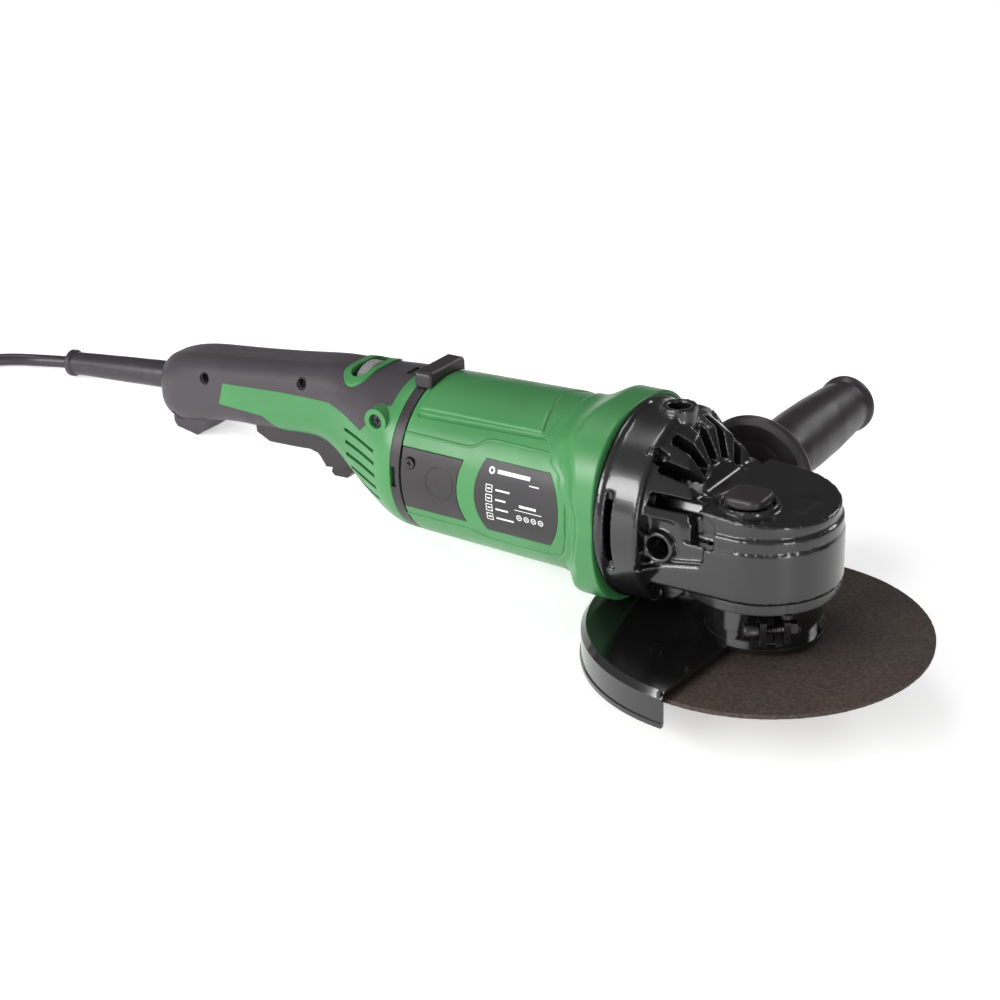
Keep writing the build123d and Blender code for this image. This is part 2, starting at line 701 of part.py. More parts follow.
# ---- rear handle ----
# Each station gives (x, half width, bottom z, top z, corner radius).
STATIONS = [
    (HANDLE_FRONT, 45.2, 16.4, 106.6, 44.6),
    (-213.0, 43.4, 19.0, 106.2, 40.0),
    (-226.0, 37.0, 25.5, 105.6, 32.0),
    (-241.0, 30.0, 34.5, 105.0, 25.0),
    (-255.0, 25.0, 46.0, 104.5, 19.0),
    (-268.0, 22.6, 55.6, 103.8, 15.0),
    (-290.0, 21.5, 57.6, 101.2, 13.5),
    (-325.0, 21.2, 55.6, 97.2, 13.5),
    (-358.0, 21.2, 52.6, 94.2, 14.0),
    (-378.0, 20.8, 48.8, 91.8, 14.5),
    (-390.0, 18.4, 48.6, 88.6, 14.5),
]
TAIL_STATIONS = [
    STATIONS[-1],
    (-395.4, 15.2, 51.2, 84.6, 13.0),
    (-398.4, 10.4, 56.0, 79.2, 9.6),
]


HEEL_HALF = 11.0


def lofted(stations, inset):
    """A form lofted through rounded rectangular stations, moved inward by inset."""
    sections = []
    for x, half, low, high, corner in stations:
        width = 2 * (half - inset)
        height = high - low - 2 * inset
        plane = Plane(origin=(x, 0, (low + high) / 2), x_dir=(0, 1, 0), z_dir=(1, 0, 0))
        rounding = min(corner - 0.5 * inset, width / 2 - 0.4, height / 2 - 0.4)
        sections.append(plane * RectangleRounded(width, height, rounding))
    return loft(sections)


def handle_body(inset):
    return lofted(STATIONS, inset)


def handle_form():
    """Handle body, rounded tail and the heel it stands on."""
    body = handle_body(0) + lofted(TAIL_STATIONS, 0)
    heel = side_prism([
        (-391, 60), (-391.6, floor_z(-391.6) + 2.6), (-389.5, floor_z(-389.5)), (-374, floor_z(-374)),
        (-369, floor_z(-369) + 4.5), (-362, 58),
    ], -HEEL_HALF, HEEL_HALF)
    return body + heel


GREEN_OUTLINE = [
    (-345, 69), (-341, 82.6), (-300, 85), (-260, 86.3), (-247, 83.3), (-231, 79), (-225.5, 84),
    (-222.5, 94), (-211, 96), (-211, 120), (-195, 120), (-195, 0), (-300, 0), (-300, 58), (-312, 67.5),
]

DIAL_X = -245.3
DIAL_Z = 89.0
DIAL_R = 17.2
HANDLE_SCREWS = [(-355.0, 83.0), (-281.4, 93.0)]
BOSS_X = -216.4
BOSS_Z = 88.7
BOSS_R = 7.2
BOSS_SEAT = 34.0
BOSS_SLEEVE_R = 2.5
BOSS_FACE = 38.8
HEEL_SCREW = (-386.0, 52.0)
VENT_REARS = (-247.0, -247.0, -247.0, -244.0, -238.0, -225.0)
TRIGGER_PIVOT = (-320.0, 64.5)
LEVER_PIVOT = (-267.0, 53.5)
SWITCH_BASE = 68.0


def handle_cuts():
    """Openings shared by the green shells and their soft skin."""
    cuts = [
        box(-327.5, -256.0, -TRIGGER_W / 2 - 0.8, TRIGGER_W / 2 + 0.8, 30, 68),
        dial_slot(34.0, 11.0),
        box(-218.5, -200, -6.0, 6.0, 102.9, 120),
        between(RELIEF_START, RELIEF_TIP, lambda length: rod_z(8.6, -12, 30)),
    ]
    for side in (-1, 1):
        for x, z in HANDLE_SCREWS:
            cuts.append(rod_y(3.6, 14 * side, 40 * side, x, z))
        cuts.append(rod_y(3.4, 10.5 * side, 40 * side, *HEEL_SCREW))
    return cuts


def dial_slot(length, width):
    """A round-ended slot across the top of the handle, as a cutting prism."""
    slot = extrude(SlotOverall(length, width), 36)
    return Pos(DIAL_X, 0, 84) * Rot(0, 0, 90) * slot


def soft_skin():
    """The soft layer over the top, the back and the underside of the handle."""
    layer = handle_form() - handle_body(SKIN)
    green = side_prism(GREEN_OUTLINE, -60, 60)
    skin = layer - green
    for side in (-1, 1):
        skin = skin - rod_y(BOSS_R + 0.05, 20 * side, 60 * side, BOSS_X, BOSS_Z)
    return skin - rod_x(60, -211.0, -190) - dial_slot(43.2, 19.0)


def shell_form():
    """The hard inner form of the rear handle before it is split at the middle."""
    bezel_seat = dial_slot(43.2, 19.0) - handle_body(SKIN)
    shell = handle_form() - soft_skin() - bezel_seat
    cavity = handle_body(WALL) & box(STATIONS[-1][0] - 1, -209.4, -60, 60, 0, 120)
    shell = shell - cavity - rod_x(38.9, -210, -200) - rod_x(42.0, -214.6, -209.2)
    for index in range(6):
        z = 73.2 - 7.35 * index
        rear = VENT_REARS[index]
        for side in (-1, 1):
            slot = box(rear, -217, 12 * side, 60 * side, z - 1.1, z + 1.1)
            shell = shell - (Pos(-232, 0, z) * Rot(0, 5, 0) * Pos(232, 0, -z) * slot)
    for side in (-1, 1):
        boss = rod_y(BOSS_R, 26 * side, BOSS_FACE * side, BOSS_X, BOSS_Z) - rod_x(42.0, -224, -190)
        shell = shell + boss - rod_y(4.2, BOSS_SEAT * side, 60 * side, BOSS_X, BOSS_Z)
    posts = []
    for x, z in HANDLE_SCREWS:
        posts.append(rod_y(4.8, -19.5, 19.5, x, z))
    for side in (-1, 1):
        posts.append(rod_y(5.2, 14.6 * side, 19.4 * side, *TRIGGER_PIVOT))
    core = handle_body(SKIN + 0.1)
    for post in posts:
        shell = shell + (post & core)
    shell = shell + rod_y(BOSS_SLEEVE_R, -BOSS_SEAT, BOSS_SEAT, BOSS_X, BOSS_Z)
    return shell


def handle_nodes():
    """Splits the rear handle into left and right shells and soft skins."""
    shell = shell_form()
    skin = soft_skin()
    for cut in handle_cuts():
        shell = shell - cut
        skin = skin - cut
    for x, z in HANDLE_SCREWS + [HEEL_SCREW]:
        hole = rod_y(1.6, -20, 16, x, z)
        shell = shell - hole
        skin = skin - hole
    shell = shell - rod_y(1.6, -BOSS_SEAT - 1, 26, BOSS_X, BOSS_Z)
    shell = shell - rod_y(2.56, -17.0, 17.0, *TRIGGER_PIVOT)
    right = box(-430, -190, -80, -0.05, -10, 130)
    left = box(-430, -190, 0.05, 80, -10, 130)
    return {
        "handle_shell_right": shell & right,
        "handle_shell_left": shell & left,
        "handle_skin_right": skin & right,
        "handle_skin_left": skin & left,
    }


def dial_bezel():
    """Raised oval rim around the dial, following the handle's crown."""
    rim = handle_body(-1.0) - handle_body(SKIN)
    return (rim & dial_slot(43.1, 18.9)) - dial_slot(34.0, 11.0)


def speed_dial():
    wheel = rod_x(DIAL_R, DIAL_X - 3.5, DIAL_X + 3.5, z=DIAL_Z)
    wheel = chamfer(wheel.edges().filter_by(GeomType.CIRCLE), 0.7)
    ribs = 36
    for index in range(ribs):
        groove = box(DIAL_X - 4, DIAL_X + 4, -0.55, 0.55, DIAL_Z + DIAL_R - 0.6, DIAL_Z + DIAL_R + 1)
        wheel = wheel - Pos(0, 0, DIAL_Z) * Rot(index * 360 / ribs, 0, 0) * Pos(0, 0, -DIAL_Z) * groove
    return wheel + rod_x(2.0, DIAL_X - 7.5, DIAL_X + 7.5, z=DIAL_Z)


def control_board():
    """Speed control board with its capacitor and the two cheeks that carry the dial."""
    board = box(-254, -226, -15, 15, 66, 68)
    for side in (-1, 1):
        low, high = sorted((DIAL_X + 4.3 * side, DIAL_X + 8.4 * side))
        board = board + box(low, high, -4.5, 4.5, 68, DIAL_Z + 4)
    board = board + rod_x(5.0, -240.4, -227, y=-9.6, z=72.6)
    board = board - rod_x(2.06, DIAL_X - 20, DIAL_X + 20, z=DIAL_Z)
    return board


def handle_latch():
    """Slider over the ring: pulled back, it frees the handle to turn. Its tooth is left out."""
    block = box(-204.4, -193.6, -17, 17, 96, 113.2)
    block = fillet(block.edges().filter_by(Axis.X).group_by(Axis.Z)[-1], 3.0)
    block = chamfer(block.edges().filter_by(Axis.Y).group_by(Axis.Z)[-1], 1.0)
    block = block - rod_x(46.4, -210, -190)
    tongue = box(-213.5, -203.6, -5.5, 5.5, 103.3, 107.2) + box(-204.5, -203.6, -5.5, 5.5, 104, 109)
    return block + tongue


def trigger_paddle():
    outline = [
        (-324.5, 58.5), (-324.0, 53.0), (-314, 48.2), (-295, 48.8), (-285, 49.4), (-279.5, 48.2),
        (-275.5, 44.0), (-273.5, 41.0), (-260.5, 42.5), (-258.8, 47.5), (-258.6, 60.0), (-290, 62.4),
        (-311, 64.2), (-316, 67.2), (-324.5, 67.2),
    ]
    paddle = side_prism(outline, -TRIGGER_W / 2, TRIGGER_W / 2)
    low_edges = paddle.edges().filter_by(lambda edge: abs(edge.center().Y) > TRIGGER_W / 2 - 0.1)
    low_edges = low_edges.filter_by(lambda edge: edge.center().Z < 50.5 and edge.center().X < -275)
    paddle = fillet(low_edges, 0.8)
    paddle = paddle - box(-277.5, -250, -7.6, 7.6, 30, 70)
    paddle = paddle + rod_y(2.5, -16.6, 16.6, *TRIGGER_PIVOT)
    return paddle - rod_y(2.06, -10.2, 10.2, *LEVER_PIVOT)


def lock_off_lever():
    x, z = LEVER_PIVOT
    outline = [
        (x - 3.6, z + 3), (x - 3.4, z - 9.5), (x - 6.6, z - 13), (x - 8.0, z - 18.5), (x - 6.0, z - 20.5),
        (x + 3.5, z - 20.2), (x + 6.2, z - 17), (x + 6.4, z - 12.5), (x + 3.6, z - 9.5), (x + 3.6, z + 3),
    ]
    lever = side_prism(outline, -7, 7) + rod_y(3.6, -7, 7, x, z + 2.5)
    return lever + rod_y(2.0, -10, 10, x, z)


def trigger_spring():
    return Pos(-292, 0, 62.9) * coil_spring(3.2, 0.8, SWITCH_BASE - 63.0, 3)


def switch_module():
    body = box(-316, -288.5, -9, 9, SWITCH_BASE, 87)
    plunger = rod_z(2.6, 66.6, SWITCH_BASE, x=-305)
    terminals = joined([box(-314.5 + 8 * index, -309.5 + 8 * index, -3, 3, 87, 91) for index in range(3)])
    return body + plunger + terminals


def handle_screws():
    screws = []
    seats = [(x, -14.0, z, 27.0) for x, z in HANDLE_SCREWS]
    seats = seats + [(BOSS_X, -BOSS_SEAT, BOSS_Z, 58.0), (HEEL_SCREW[0], -10.5, HEEL_SCREW[1], 20.0)]
    for x, y, z, length in seats:
        screws.append((Pos(x, y, z) * Rot(90, 0, 0) * pan_screw(length, 1.55, 3.3)).solid())
    for side in (-1, 1):
        screws.append((Pos(-373, 9.5 * side, 79.6) * pan_screw(9.0, 1.3, 2.6)).solid())
    return Compound(children=screws)


def cord_clamp():
    """Bar across the cable just inside the handle."""
    bar = box(-377, -369, -13, 13, 75.4, 79.6)
    for side in (-1, 1):
        bar = bar - rod_z(1.35, 70, 90, x=-373, y=9.5 * side)
    return bar


def strain_relief():
    """Smooth tapered sleeve with a bead at its tip, held by a flange inside the tail."""
    def sleeve(length):
        return turned_z([
            (0, -14), (10.4, -14), (10.4, -10.6), (8.3, -10.6), (8.3, 10.0), (7.9, 0.45 * length),
            (7.1, length - 6.0), (7.1, length - 4.4), (8.3, length - 3.4), (8.3, length - 0.8),
            (7.5, length), (0, length),
        ])
    return between(RELIEF_START, RELIEF_TIP, sleeve)


# ---- cord: its route is in the row frame, where the floor is z = 0 ----
def cord_route():
    """Corners of the lead from the strain relief's tip to the coil's outer turn."""
    return [
        row_point(RELIEF_TIP),
        (-339.3, -59.5, 4.6),
        (-356.3, -73.0, 3.9),
        (-368.3, -92.0, 3.9),
        (-371.3, -114.0, 3.9),
        (-372.7, -138.0, 3.9),
    ]


def lead_tube(points):
    """Straight runs joined by tangent arcs, each as large as its two runs allow."""
    runs = [Vector(*b) - Vector(*a) for a, b in zip(points, points[1:])]
    radii = []
    for before, after in zip(runs, runs[1:]):
        turn = radians(before.get_angle(after))
        radii.append(0.45 * min(before.length, after.length) / tan(turn / 2))
    print("cord arc radii", [round(radius, 1) for radius in radii])
    path = FilletPolyline(*points, radius=radii)
    section = Plane(origin=path @ 0, z_dir=path % 0) * Circle(CORD_D / 2)
    tube = sweep(section, path=path)
    print("lead length", round(path.length, 1), "volume error",
          round(tube.volume / (path.length * pi * CORD_D ** 2 / 4) - 1, 4))
    return tube


PLUG_X = COIL_CENTRE[0] - 33.0
PLUG_Y = COIL_CENTRE[1] + 13.0
PLUG_Z = 37.0
BOOT_END = (PLUG_X, PLUG_Y - 26.0, 30.5)


def cord_lead():
    """Free lead, the short tail from the coil to the plug, and the end inside the handle."""
    outer = lead_tube(cord_route()).solid()
    tail_start = (PLUG_X - 4.0, BOOT_END[1] - 27.0, 18.0)
    tail = between(tail_start, BOOT_END, lambda length: rod_z(CORD_D / 2, 0, length))
    inner = between(RELIEF_START, RELIEF_TIP, lambda length: rod_z(CORD_D / 2, -48, -14.0))
    return Compound(children=[outer, tail.solid(), tilted(inner).solid()])


def coil_ring(margin):
    """Rounded ring of the wound cord, grown by margin."""
    half = COIL_HALF + margin
    ring = Pos(COIL_MEAN_R, 12.0) * RectangleRounded(2 * half, 2 * (11.7 + margin), 4.5)
    return Pos(*COIL_CENTRE, 0) * revolve(Plane.XZ * ring, Axis.Z, 360)


def tie_slab():
    x, y = COIL_CENTRE
    return box(x - 80, x, y - 4.0, y + 4.0, -5, 40)


def tie_side():
    """The one side of the coil that the tie goes round."""
    x, y = COIL_CENTRE
    return Pos(x, y, 0) * Rot(0, 0, -62) * Pos(-x, -y, 0) * tie_slab()


def cord_coil():
    return coil_ring(0) - ((coil_ring(1) - coil_ring(-1.3)) & tie_side())


def cord_tie():
    return (coil_ring(0.1) - coil_ring(-1.25)) & tie_side()


def cord_plug():
    """Flat two-pin plug with a tapered boot, lying on the coil."""
    rear = Plane(origin=(PLUG_X, PLUG_Y, PLUG_Z), x_dir=(1, 0, 0), z_dir=(0, 1, 0))
    middle = rear.offset(24.0)
    front = rear.offset(46.0)
    body = loft([
        rear * RectangleRounded(19.0, 18.0, 8.5),
        middle * RectangleRounded(33.0, 25.0, 9.0),
        front * RectangleRounded(36.0, 26.0, 9.0),
    ])
    boot = between((PLUG_X, PLUG_Y + 0.5, PLUG_Z), BOOT_END, lambda size: Pos(0, 0, size / 2) * Cone(8.0, 5.4, size))
    return body + boot


def plug_pins():
    pins = []
    for side in (-1, 1):
        pin = rod_y(2.4, PLUG_Y + 46.0, PLUG_Y + 64.0, PLUG_X + 9.5 * side, PLUG_Z)
        tip = rod_y(1.6, PLUG_Y + 64.0, PLUG_Y + 65.0, PLUG_X + 9.5 * side, PLUG_Z)
        pins.append((pin + tip).solid())
    return Compound(children=pins)


def build():
    write("grinding_disc", grinding_disc())
    write("inner_flange", inner_flange())
    write("clamping_nut", clamping_nut())
    write("spindle", spindle())
    write("crown_gear", crown_gear())
    write("pinion", pinion())
    write("lower_spindle_bearing", ball_bearing("z", 17.5, 7.5, 18, 29))
    write("upper_spindle_bearing", ball_bearing("z", 8.0, 5.0, 61, 72))
    write("front_motor_bearing", ball_bearing("x", 16.0, 6.0, -50, -40))
    write("rear_motor_bearing", ball_bearing("x", 11.0, 4.0, -207, -200))
    write("armature_shaft", armature_shaft())
    write("pinion_nut", pinion_nut())
    write("fan", fan())
    write("armature_core", armature_core())
    write("armature_windings", armature_windings())
    write("commutator", commutator())
    write("motor_housing", motor_housing())
    write("rotation_ring", rotation_ring())
    write("air_baffle", air_baffle())
    write("stator_core", stator_core())
    write("field_coils", field_coils())
    write("brush_holders", brush_holders())
    write("carbon_brushes", carbon_brushes())
    write("brush_springs", brush_springs())
    write("brush_covers", brush_cover(-1) + brush_cover(1))
    write("brush_cover_screws", brush_cover_screws())
    write("rating_plates", rating_plate(-1) + rating_plate(1))
    write("gear_housing", gear_housing())
    write("bearing_flange", bearing_flange())
    write("bearing_flange_screws", bearing_flange_screws())
    write("flange_screws", flange_screws())
    write("lock_button", lock_button())
    write("lock_pin", lock_pin())
    write("lock_spring", lock_spring())
    write("guard_shell", guard_shell())
    write("guard_clamp_band", guard_clamp_band())
    write("guard_clamp_bolt", guard_clamp_bolt())
    write("guard_clamp_nut", guard_clamp_nut())
    write("side_handle_grip", side_handle_grip())
    write("side_handle_stud", side_handle_stud())
    for name, shape in handle_nodes().items():
        write(name, shape)
    write("dial_bezel", dial_bezel())
    write("speed_dial", speed_dial())
    write("control_board", control_board())
    write("handle_latch", handle_latch())
    write("trigger_paddle", trigger_paddle())
    write("lock_off_lever", lock_off_lever())
    write("trigger_spring", trigger_spring())
    write("switch_module", switch_module())
    write("handle_screws", handle_screws())
    write("cord_clamp", cord_clamp())
    write("strain_relief", strain_relief())
    write_in_row_frame("cord_lead", cord_lead())
    write_in_row_frame("cord_coil", cord_coil())
    write_in_row_frame("cord_tie", cord_tie())
    write_in_row_frame("cord_plug", cord_plug())
    write_in_row_frame("plug_pins", plug_pins())


build()
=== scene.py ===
"""Looks of the angle grinder: its stage, its cord, its materials and its fine details.

Lengths in this file are in millimetres in the tool frame, unless a name ends in _M: the spindle is
the Z axis, the disc's upper face is z = 0 and the motor axis runs along X toward the nose.
"""

import json
import math

import bmesh
import bpy
from mathutils import Matrix, Quaternion, Vector, noise


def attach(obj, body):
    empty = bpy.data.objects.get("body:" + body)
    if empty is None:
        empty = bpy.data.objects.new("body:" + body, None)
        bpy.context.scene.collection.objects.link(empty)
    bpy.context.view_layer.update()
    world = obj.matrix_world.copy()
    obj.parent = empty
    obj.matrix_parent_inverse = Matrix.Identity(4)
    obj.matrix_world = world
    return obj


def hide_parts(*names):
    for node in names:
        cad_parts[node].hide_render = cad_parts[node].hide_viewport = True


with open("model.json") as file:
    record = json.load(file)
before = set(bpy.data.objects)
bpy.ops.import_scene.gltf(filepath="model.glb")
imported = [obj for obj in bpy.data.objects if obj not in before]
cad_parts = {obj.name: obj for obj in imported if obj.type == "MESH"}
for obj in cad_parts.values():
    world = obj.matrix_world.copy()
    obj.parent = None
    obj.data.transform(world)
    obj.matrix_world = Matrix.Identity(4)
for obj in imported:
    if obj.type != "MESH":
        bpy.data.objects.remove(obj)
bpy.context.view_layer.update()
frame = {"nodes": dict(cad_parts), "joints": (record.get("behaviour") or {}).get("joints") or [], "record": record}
NODES = frame["nodes"]
JOINTS = {joint["name"]: joint for joint in frame["joints"]}
MM = 0.001

# ---- the tool frame, from the joints of the spindle and the armature ----
TOOL_X = Vector(JOINTS["armature_spin"]["axis"])
TOOL_Z = Vector(JOINTS["spindle_spin"]["axis"])
TOOL_TURN = Matrix((TOOL_X, TOOL_Z.cross(TOOL_X), TOOL_Z)).transposed()
TOOL_ORIGIN_M = Vector(JOINTS["spindle_spin"]["pos_m"])
MOTOR_Z = (Vector(JOINTS["armature_spin"]["pos_m"]) - TOOL_ORIGIN_M).dot(TOOL_Z) / MM


def in_row(point):
    """A tool-frame point in millimetres as a row-frame point in metres."""
    return TOOL_ORIGIN_M + TOOL_TURN @ (Vector(point) * MM)


def metres(points):
    return [Vector(point) * MM for point in points]


# ---- small mesh helpers ----
def mesh_object(name, vertices, faces):
    """A smooth-shaded mesh from vertices in metres."""
    mesh = bpy.data.meshes.new(name)
    mesh.from_pydata([tuple(v) for v in vertices], [], faces)
    mesh.update()
    mesh.polygons.foreach_set("use_smooth", [True] * len(mesh.polygons))
    made = bpy.data.objects.new(name, mesh)
    bpy.context.scene.collection.objects.link(made)
    return made


def grid_faces(rows, columns, wrap):
    """Quads of a grid of rows by columns, numbered row by row; wrap closes each row on itself."""
    faces = []
    last = columns if wrap else columns - 1
    for row in range(rows - 1):
        for column in range(last):
            right = (column + 1) % columns
            low, high = row * columns, (row + 1) * columns
            faces.append((low + column, low + right, high + right, high + column))
    return faces


# ---- stage: camera, floor and lights ----
CAMERA_AT_M = (0.4756, -0.9049, 0.6029)
CAMERA_LOOKS_AT_M = (-0.0415, 0.0144, 0.0)
CAMERA_ROLL = 8.495
LENS = 73.5


def make_camera():
    data = bpy.data.cameras.new("camera")
    data.lens = LENS
    data.sensor_width = 36.0
    data.clip_start, data.clip_end = 0.05, 50.0
    camera = bpy.data.objects.new("camera", data)
    bpy.context.scene.collection.objects.link(camera)
    camera.location = CAMERA_AT_M
    look = Vector(CAMERA_LOOKS_AT_M) - Vector(CAMERA_AT_M)
    camera.rotation_mode = "QUATERNION"
    roll = Quaternion((0, 0, 1), math.radians(CAMERA_ROLL))
    camera.rotation_quaternion = look.to_track_quat("-Z", "Y") @ roll
    bpy.context.scene.camera = camera


def area_light(name, location, target, size, power):
    """A rectangular light at location, turned toward target; metres and watts."""
    data = bpy.data.lights.new(name, "AREA")
    data.shape = "RECTANGLE"
    data.size, data.size_y = size
    data.energy = power
    light = bpy.data.objects.new(name, data)
    bpy.context.scene.collection.objects.link(light)
    light.location = location
    look = Vector(target) - Vector(location)
    light.rotation_mode = "QUATERNION"
    light.rotation_quaternion = look.to_track_quat("-Z", "Y")


# Each light's name, place, target, size and power.
LIGHTS = [
    ("key", (-0.55, -1.35, 0.62), (-0.06, 0.0, 0.06), (1.2, 0.55), 25),
    ("rim", (0.55, 1.40, 1.05), (0.0, 0.0, 0.08), (1.0, 0.2), 7),
    ("front", (1.30, -0.75, 0.34), (0.15, -0.02, 0.06), (0.22, 0.5), 5),
    ("top", (-0.75, 0.1, 1.6), (-0.15, 0.0, 0.0), (0.8, 0.35), 6),
]
# The world's strength as a light, from a direction's Y of the first row to one of the second.
SKY_BEFORE = (-0.6, 0.46)
SKY_BEHIND = (0.75, 0.10)
BACKDROP_STRENGTH = 1.0
FLOOR_HALF_M = 4.0
FLOOR_GLOW = 0.5


def make_world():
    """A white backdrop; as a light it is soft, and dimmer behind the tool than before it."""
    world = bpy.data.worlds.new("studio")
    bpy.context.scene.world = world
    world.use_nodes = True
    tree = world.node_tree
    background = tree.nodes["Background"]
    background.inputs["Color"].default_value = (1, 1, 1, 1)
    direction = tree.nodes.new("ShaderNodeTexCoord").outputs["Generated"]
    parts = tree.nodes.new("ShaderNodeSeparateXYZ")
    tree.links.new(direction, parts.inputs[0])
    level = tree.nodes.new("ShaderNodeMapRange")
    level.inputs["From Min"].default_value, level.inputs["To Min"].default_value = SKY_BEFORE
    level.inputs["From Max"].default_value, level.inputs["To Max"].default_value = SKY_BEHIND
    tree.links.new(parts.outputs["Y"], level.inputs["Value"])
    choice = tree.nodes.new("ShaderNodeMix")
    choice.inputs[3].default_value = BACKDROP_STRENGTH
    seen = tree.nodes.new("ShaderNodeLightPath").outputs["Is Camera Ray"]
    tree.links.new(seen, choice.inputs["Factor"])
    tree.links.new(level.outputs["Result"], choice.inputs[2])
    tree.links.new(choice.outputs[0], background.inputs["Strength"])


def make_stage():
    half = FLOOR_HALF_M
    corners = [(-half, -half, 0), (half, -half, 0), (half, half, 0), (-half, half, 0)]
    floor = mesh_object("floor", corners, [(0, 1, 2, 3)])
    graph = Graph("floor_white")
    cloud = graph.noise(graph.coords(), 0.8, 2.0)
    white = graph.mix(cloud, (0.9, 0.9, 0.9), (0.94, 0.94, 0.94))
    graph.set("Base Color", white)
    graph.set("Emission Color", white)
    graph.set("Emission Strength", FLOOR_GLOW)
    graph.set("Roughness", 0.6)
    floor.data.materials.append(graph.material)
    make_world()
    for light in LIGHTS:
        area_light(*light)
    bpy.context.scene.view_settings.view_transform = "Standard"
    bpy.context.scene.view_settings.look = "None"


# ---- node graphs for materials ----
class Graph:
    """A Principled material and short names for the nodes that drive it."""

    def __init__(self, name):
        self.material = bpy.data.materials.new(name)
        self.material.use_nodes = True
        self.tree = self.material.node_tree
        self.shader = self.tree.nodes["Principled BSDF"]

    def add(self, kind, **settings):
        node = self.tree.nodes.new(kind)
        for key, value in settings.items():
            setattr(node, key, value)
        return node

    def put(self, socket, value):
        """Links another node's socket, or sets a number or a colour."""
        if isinstance(value, bpy.types.NodeSocket):
            self.tree.links.new(value, socket)
        elif isinstance(value, tuple) and len(value) == 3 and socket.type == "RGBA":
            socket.default_value = (*value, 1.0)
        else:
            socket.default_value = value

    def set(self, name, value):
        self.put(self.shader.inputs[name], value)

    def coords(self, stretch=None):
        place = self.add("ShaderNodeTexCoord").outputs["Object"]
        if stretch is None:
            return place
        mapping = self.add("ShaderNodeMapping")
        mapping.inputs["Scale"].default_value = stretch
        self.put(mapping.inputs["Vector"], place)
        return mapping.outputs["Vector"]

    def noise(self, place, scale, detail=2.0, rough=0.5):
        node = self.add("ShaderNodeTexNoise")
        self.put(node.inputs["Vector"], place)
        self.put(node.inputs["Scale"], scale)
        self.put(node.inputs["Detail"], detail)
        self.put(node.inputs["Roughness"], rough)
        return node.outputs["Fac"]

    def cells(self, place, scale, output="Distance"):
        node = self.add("ShaderNodeTexVoronoi")
        self.put(node.inputs["Vector"], place)
        self.put(node.inputs["Scale"], scale)
        return node.outputs[output]

    def waves(self, place, scale, direction, distortion=0.0):
        node = self.add("ShaderNodeTexWave", bands_direction=direction)
        self.put(node.inputs["Vector"], place)
        self.put(node.inputs["Scale"], scale)
        self.put(node.inputs["Distortion"], distortion)
        return node.outputs["Fac"]

    def span(self, value, low, high, to_low=0.0, to_high=1.0):
        """Maps value from low..high to to_low..to_high and clamps it."""
        node = self.add("ShaderNodeMapRange", clamp=True)
        for socket, number in zip(node.inputs, (value, low, high, to_low, to_high)):
            self.put(socket, number)
        return node.outputs["Result"]

    def math(self, operation, a, b=0.0):
        node = self.add("ShaderNodeMath", operation=operation)
        self.put(node.inputs[0], a)
        self.put(node.inputs[1], b)
        return node.outputs["Value"]

    def mix(self, factor, a, b):
        node = self.add("ShaderNodeMix", data_type="RGBA")
        self.put(node.inputs["Factor"], factor)
        self.put(node.inputs[6], a)
        self.put(node.inputs[7], b)
        return node.outputs[2]

    def tint(self, a, b):
        """The product of two colours, which may pass 1."""
        node = self.add("ShaderNodeVectorMath", operation="MULTIPLY")
        self.put(node.inputs[0], a)
        self.put(node.inputs[1], b)
        return node.outputs["Vector"]

    def rounded(self, radius_m):
        """Normals of edges rounded to radius_m."""
        node = self.add("ShaderNodeBevel", samples=4)
        self.put(node.inputs["Radius"], radius_m)
        return node.outputs["Normal"]

    def edge_mask(self, radius_m):
        """1 along edges and 0 on flat faces, broken up by noise."""
        product = self.add("ShaderNodeVectorMath", operation="DOT_PRODUCT")
        self.put(product.inputs[0], self.rounded(radius_m))
        self.put(product.inputs[1], self.add("ShaderNodeNewGeometry").outputs["Normal"])
        bend = self.math("SUBTRACT", 1.0, product.outputs["Value"])
        patches = self.span(self.noise(self.coords(), 160.0, 5.0), 0.35, 0.6, 0.25, 1.0)
        return self.math("MULTIPLY", self.span(bend, 0.02, 0.22), patches)

    def bump(self, height, distance_m, strength=1.0, normal=None):
        node = self.add("ShaderNodeBump")
        self.put(node.inputs["Height"], height)
        self.put(node.inputs["Distance"], distance_m)
        self.put(node.inputs["Strength"], strength)
        if normal is not None:
            self.put(node.inputs["Normal"], normal)
        return node.outputs["Normal"]


def shade(colour, factor):
    return tuple(min(1.0, channel * factor) for channel in colour)


def grey(level):
    return (level, level, level)


def moulded(name, colour, roughness, grain_scale=1500.0, grain_m=2.5e-5, edge_m=5e-4, wear=0.25):
    """Moulded plastic: fine spark-eroded grain, slight mottling and paler rubbed edges."""
    graph = Graph(name)
    place = graph.coords()
    patches = graph.span(graph.noise(place, 24.0, 4.0), 0.3, 0.7)
    body = graph.mix(patches, shade(colour, 0.9), shade(colour, 1.1))
    worn = graph.math("MULTIPLY", graph.edge_mask(edge_m * 1.6), wear)
    graph.set("Base Color", graph.mix(worn, body, shade(colour, 2.2)))
    gloss = graph.noise(place, 55.0, 5.0, 0.6)
    graph.set("Roughness", graph.span(gloss, 0.3, 0.7, roughness - 0.06, roughness + 0.08))
    fine, pits = graph.noise(place, grain_scale, 3.0, 0.6), graph.cells(place, grain_scale * 0.8)
    grain = graph.math("ADD", fine, pits)
    graph.set("Normal", graph.bump(grain, grain_m, 0.6, graph.rounded(edge_m)))
    graph.set("Specular IOR Level", 0.45)
    return graph.material


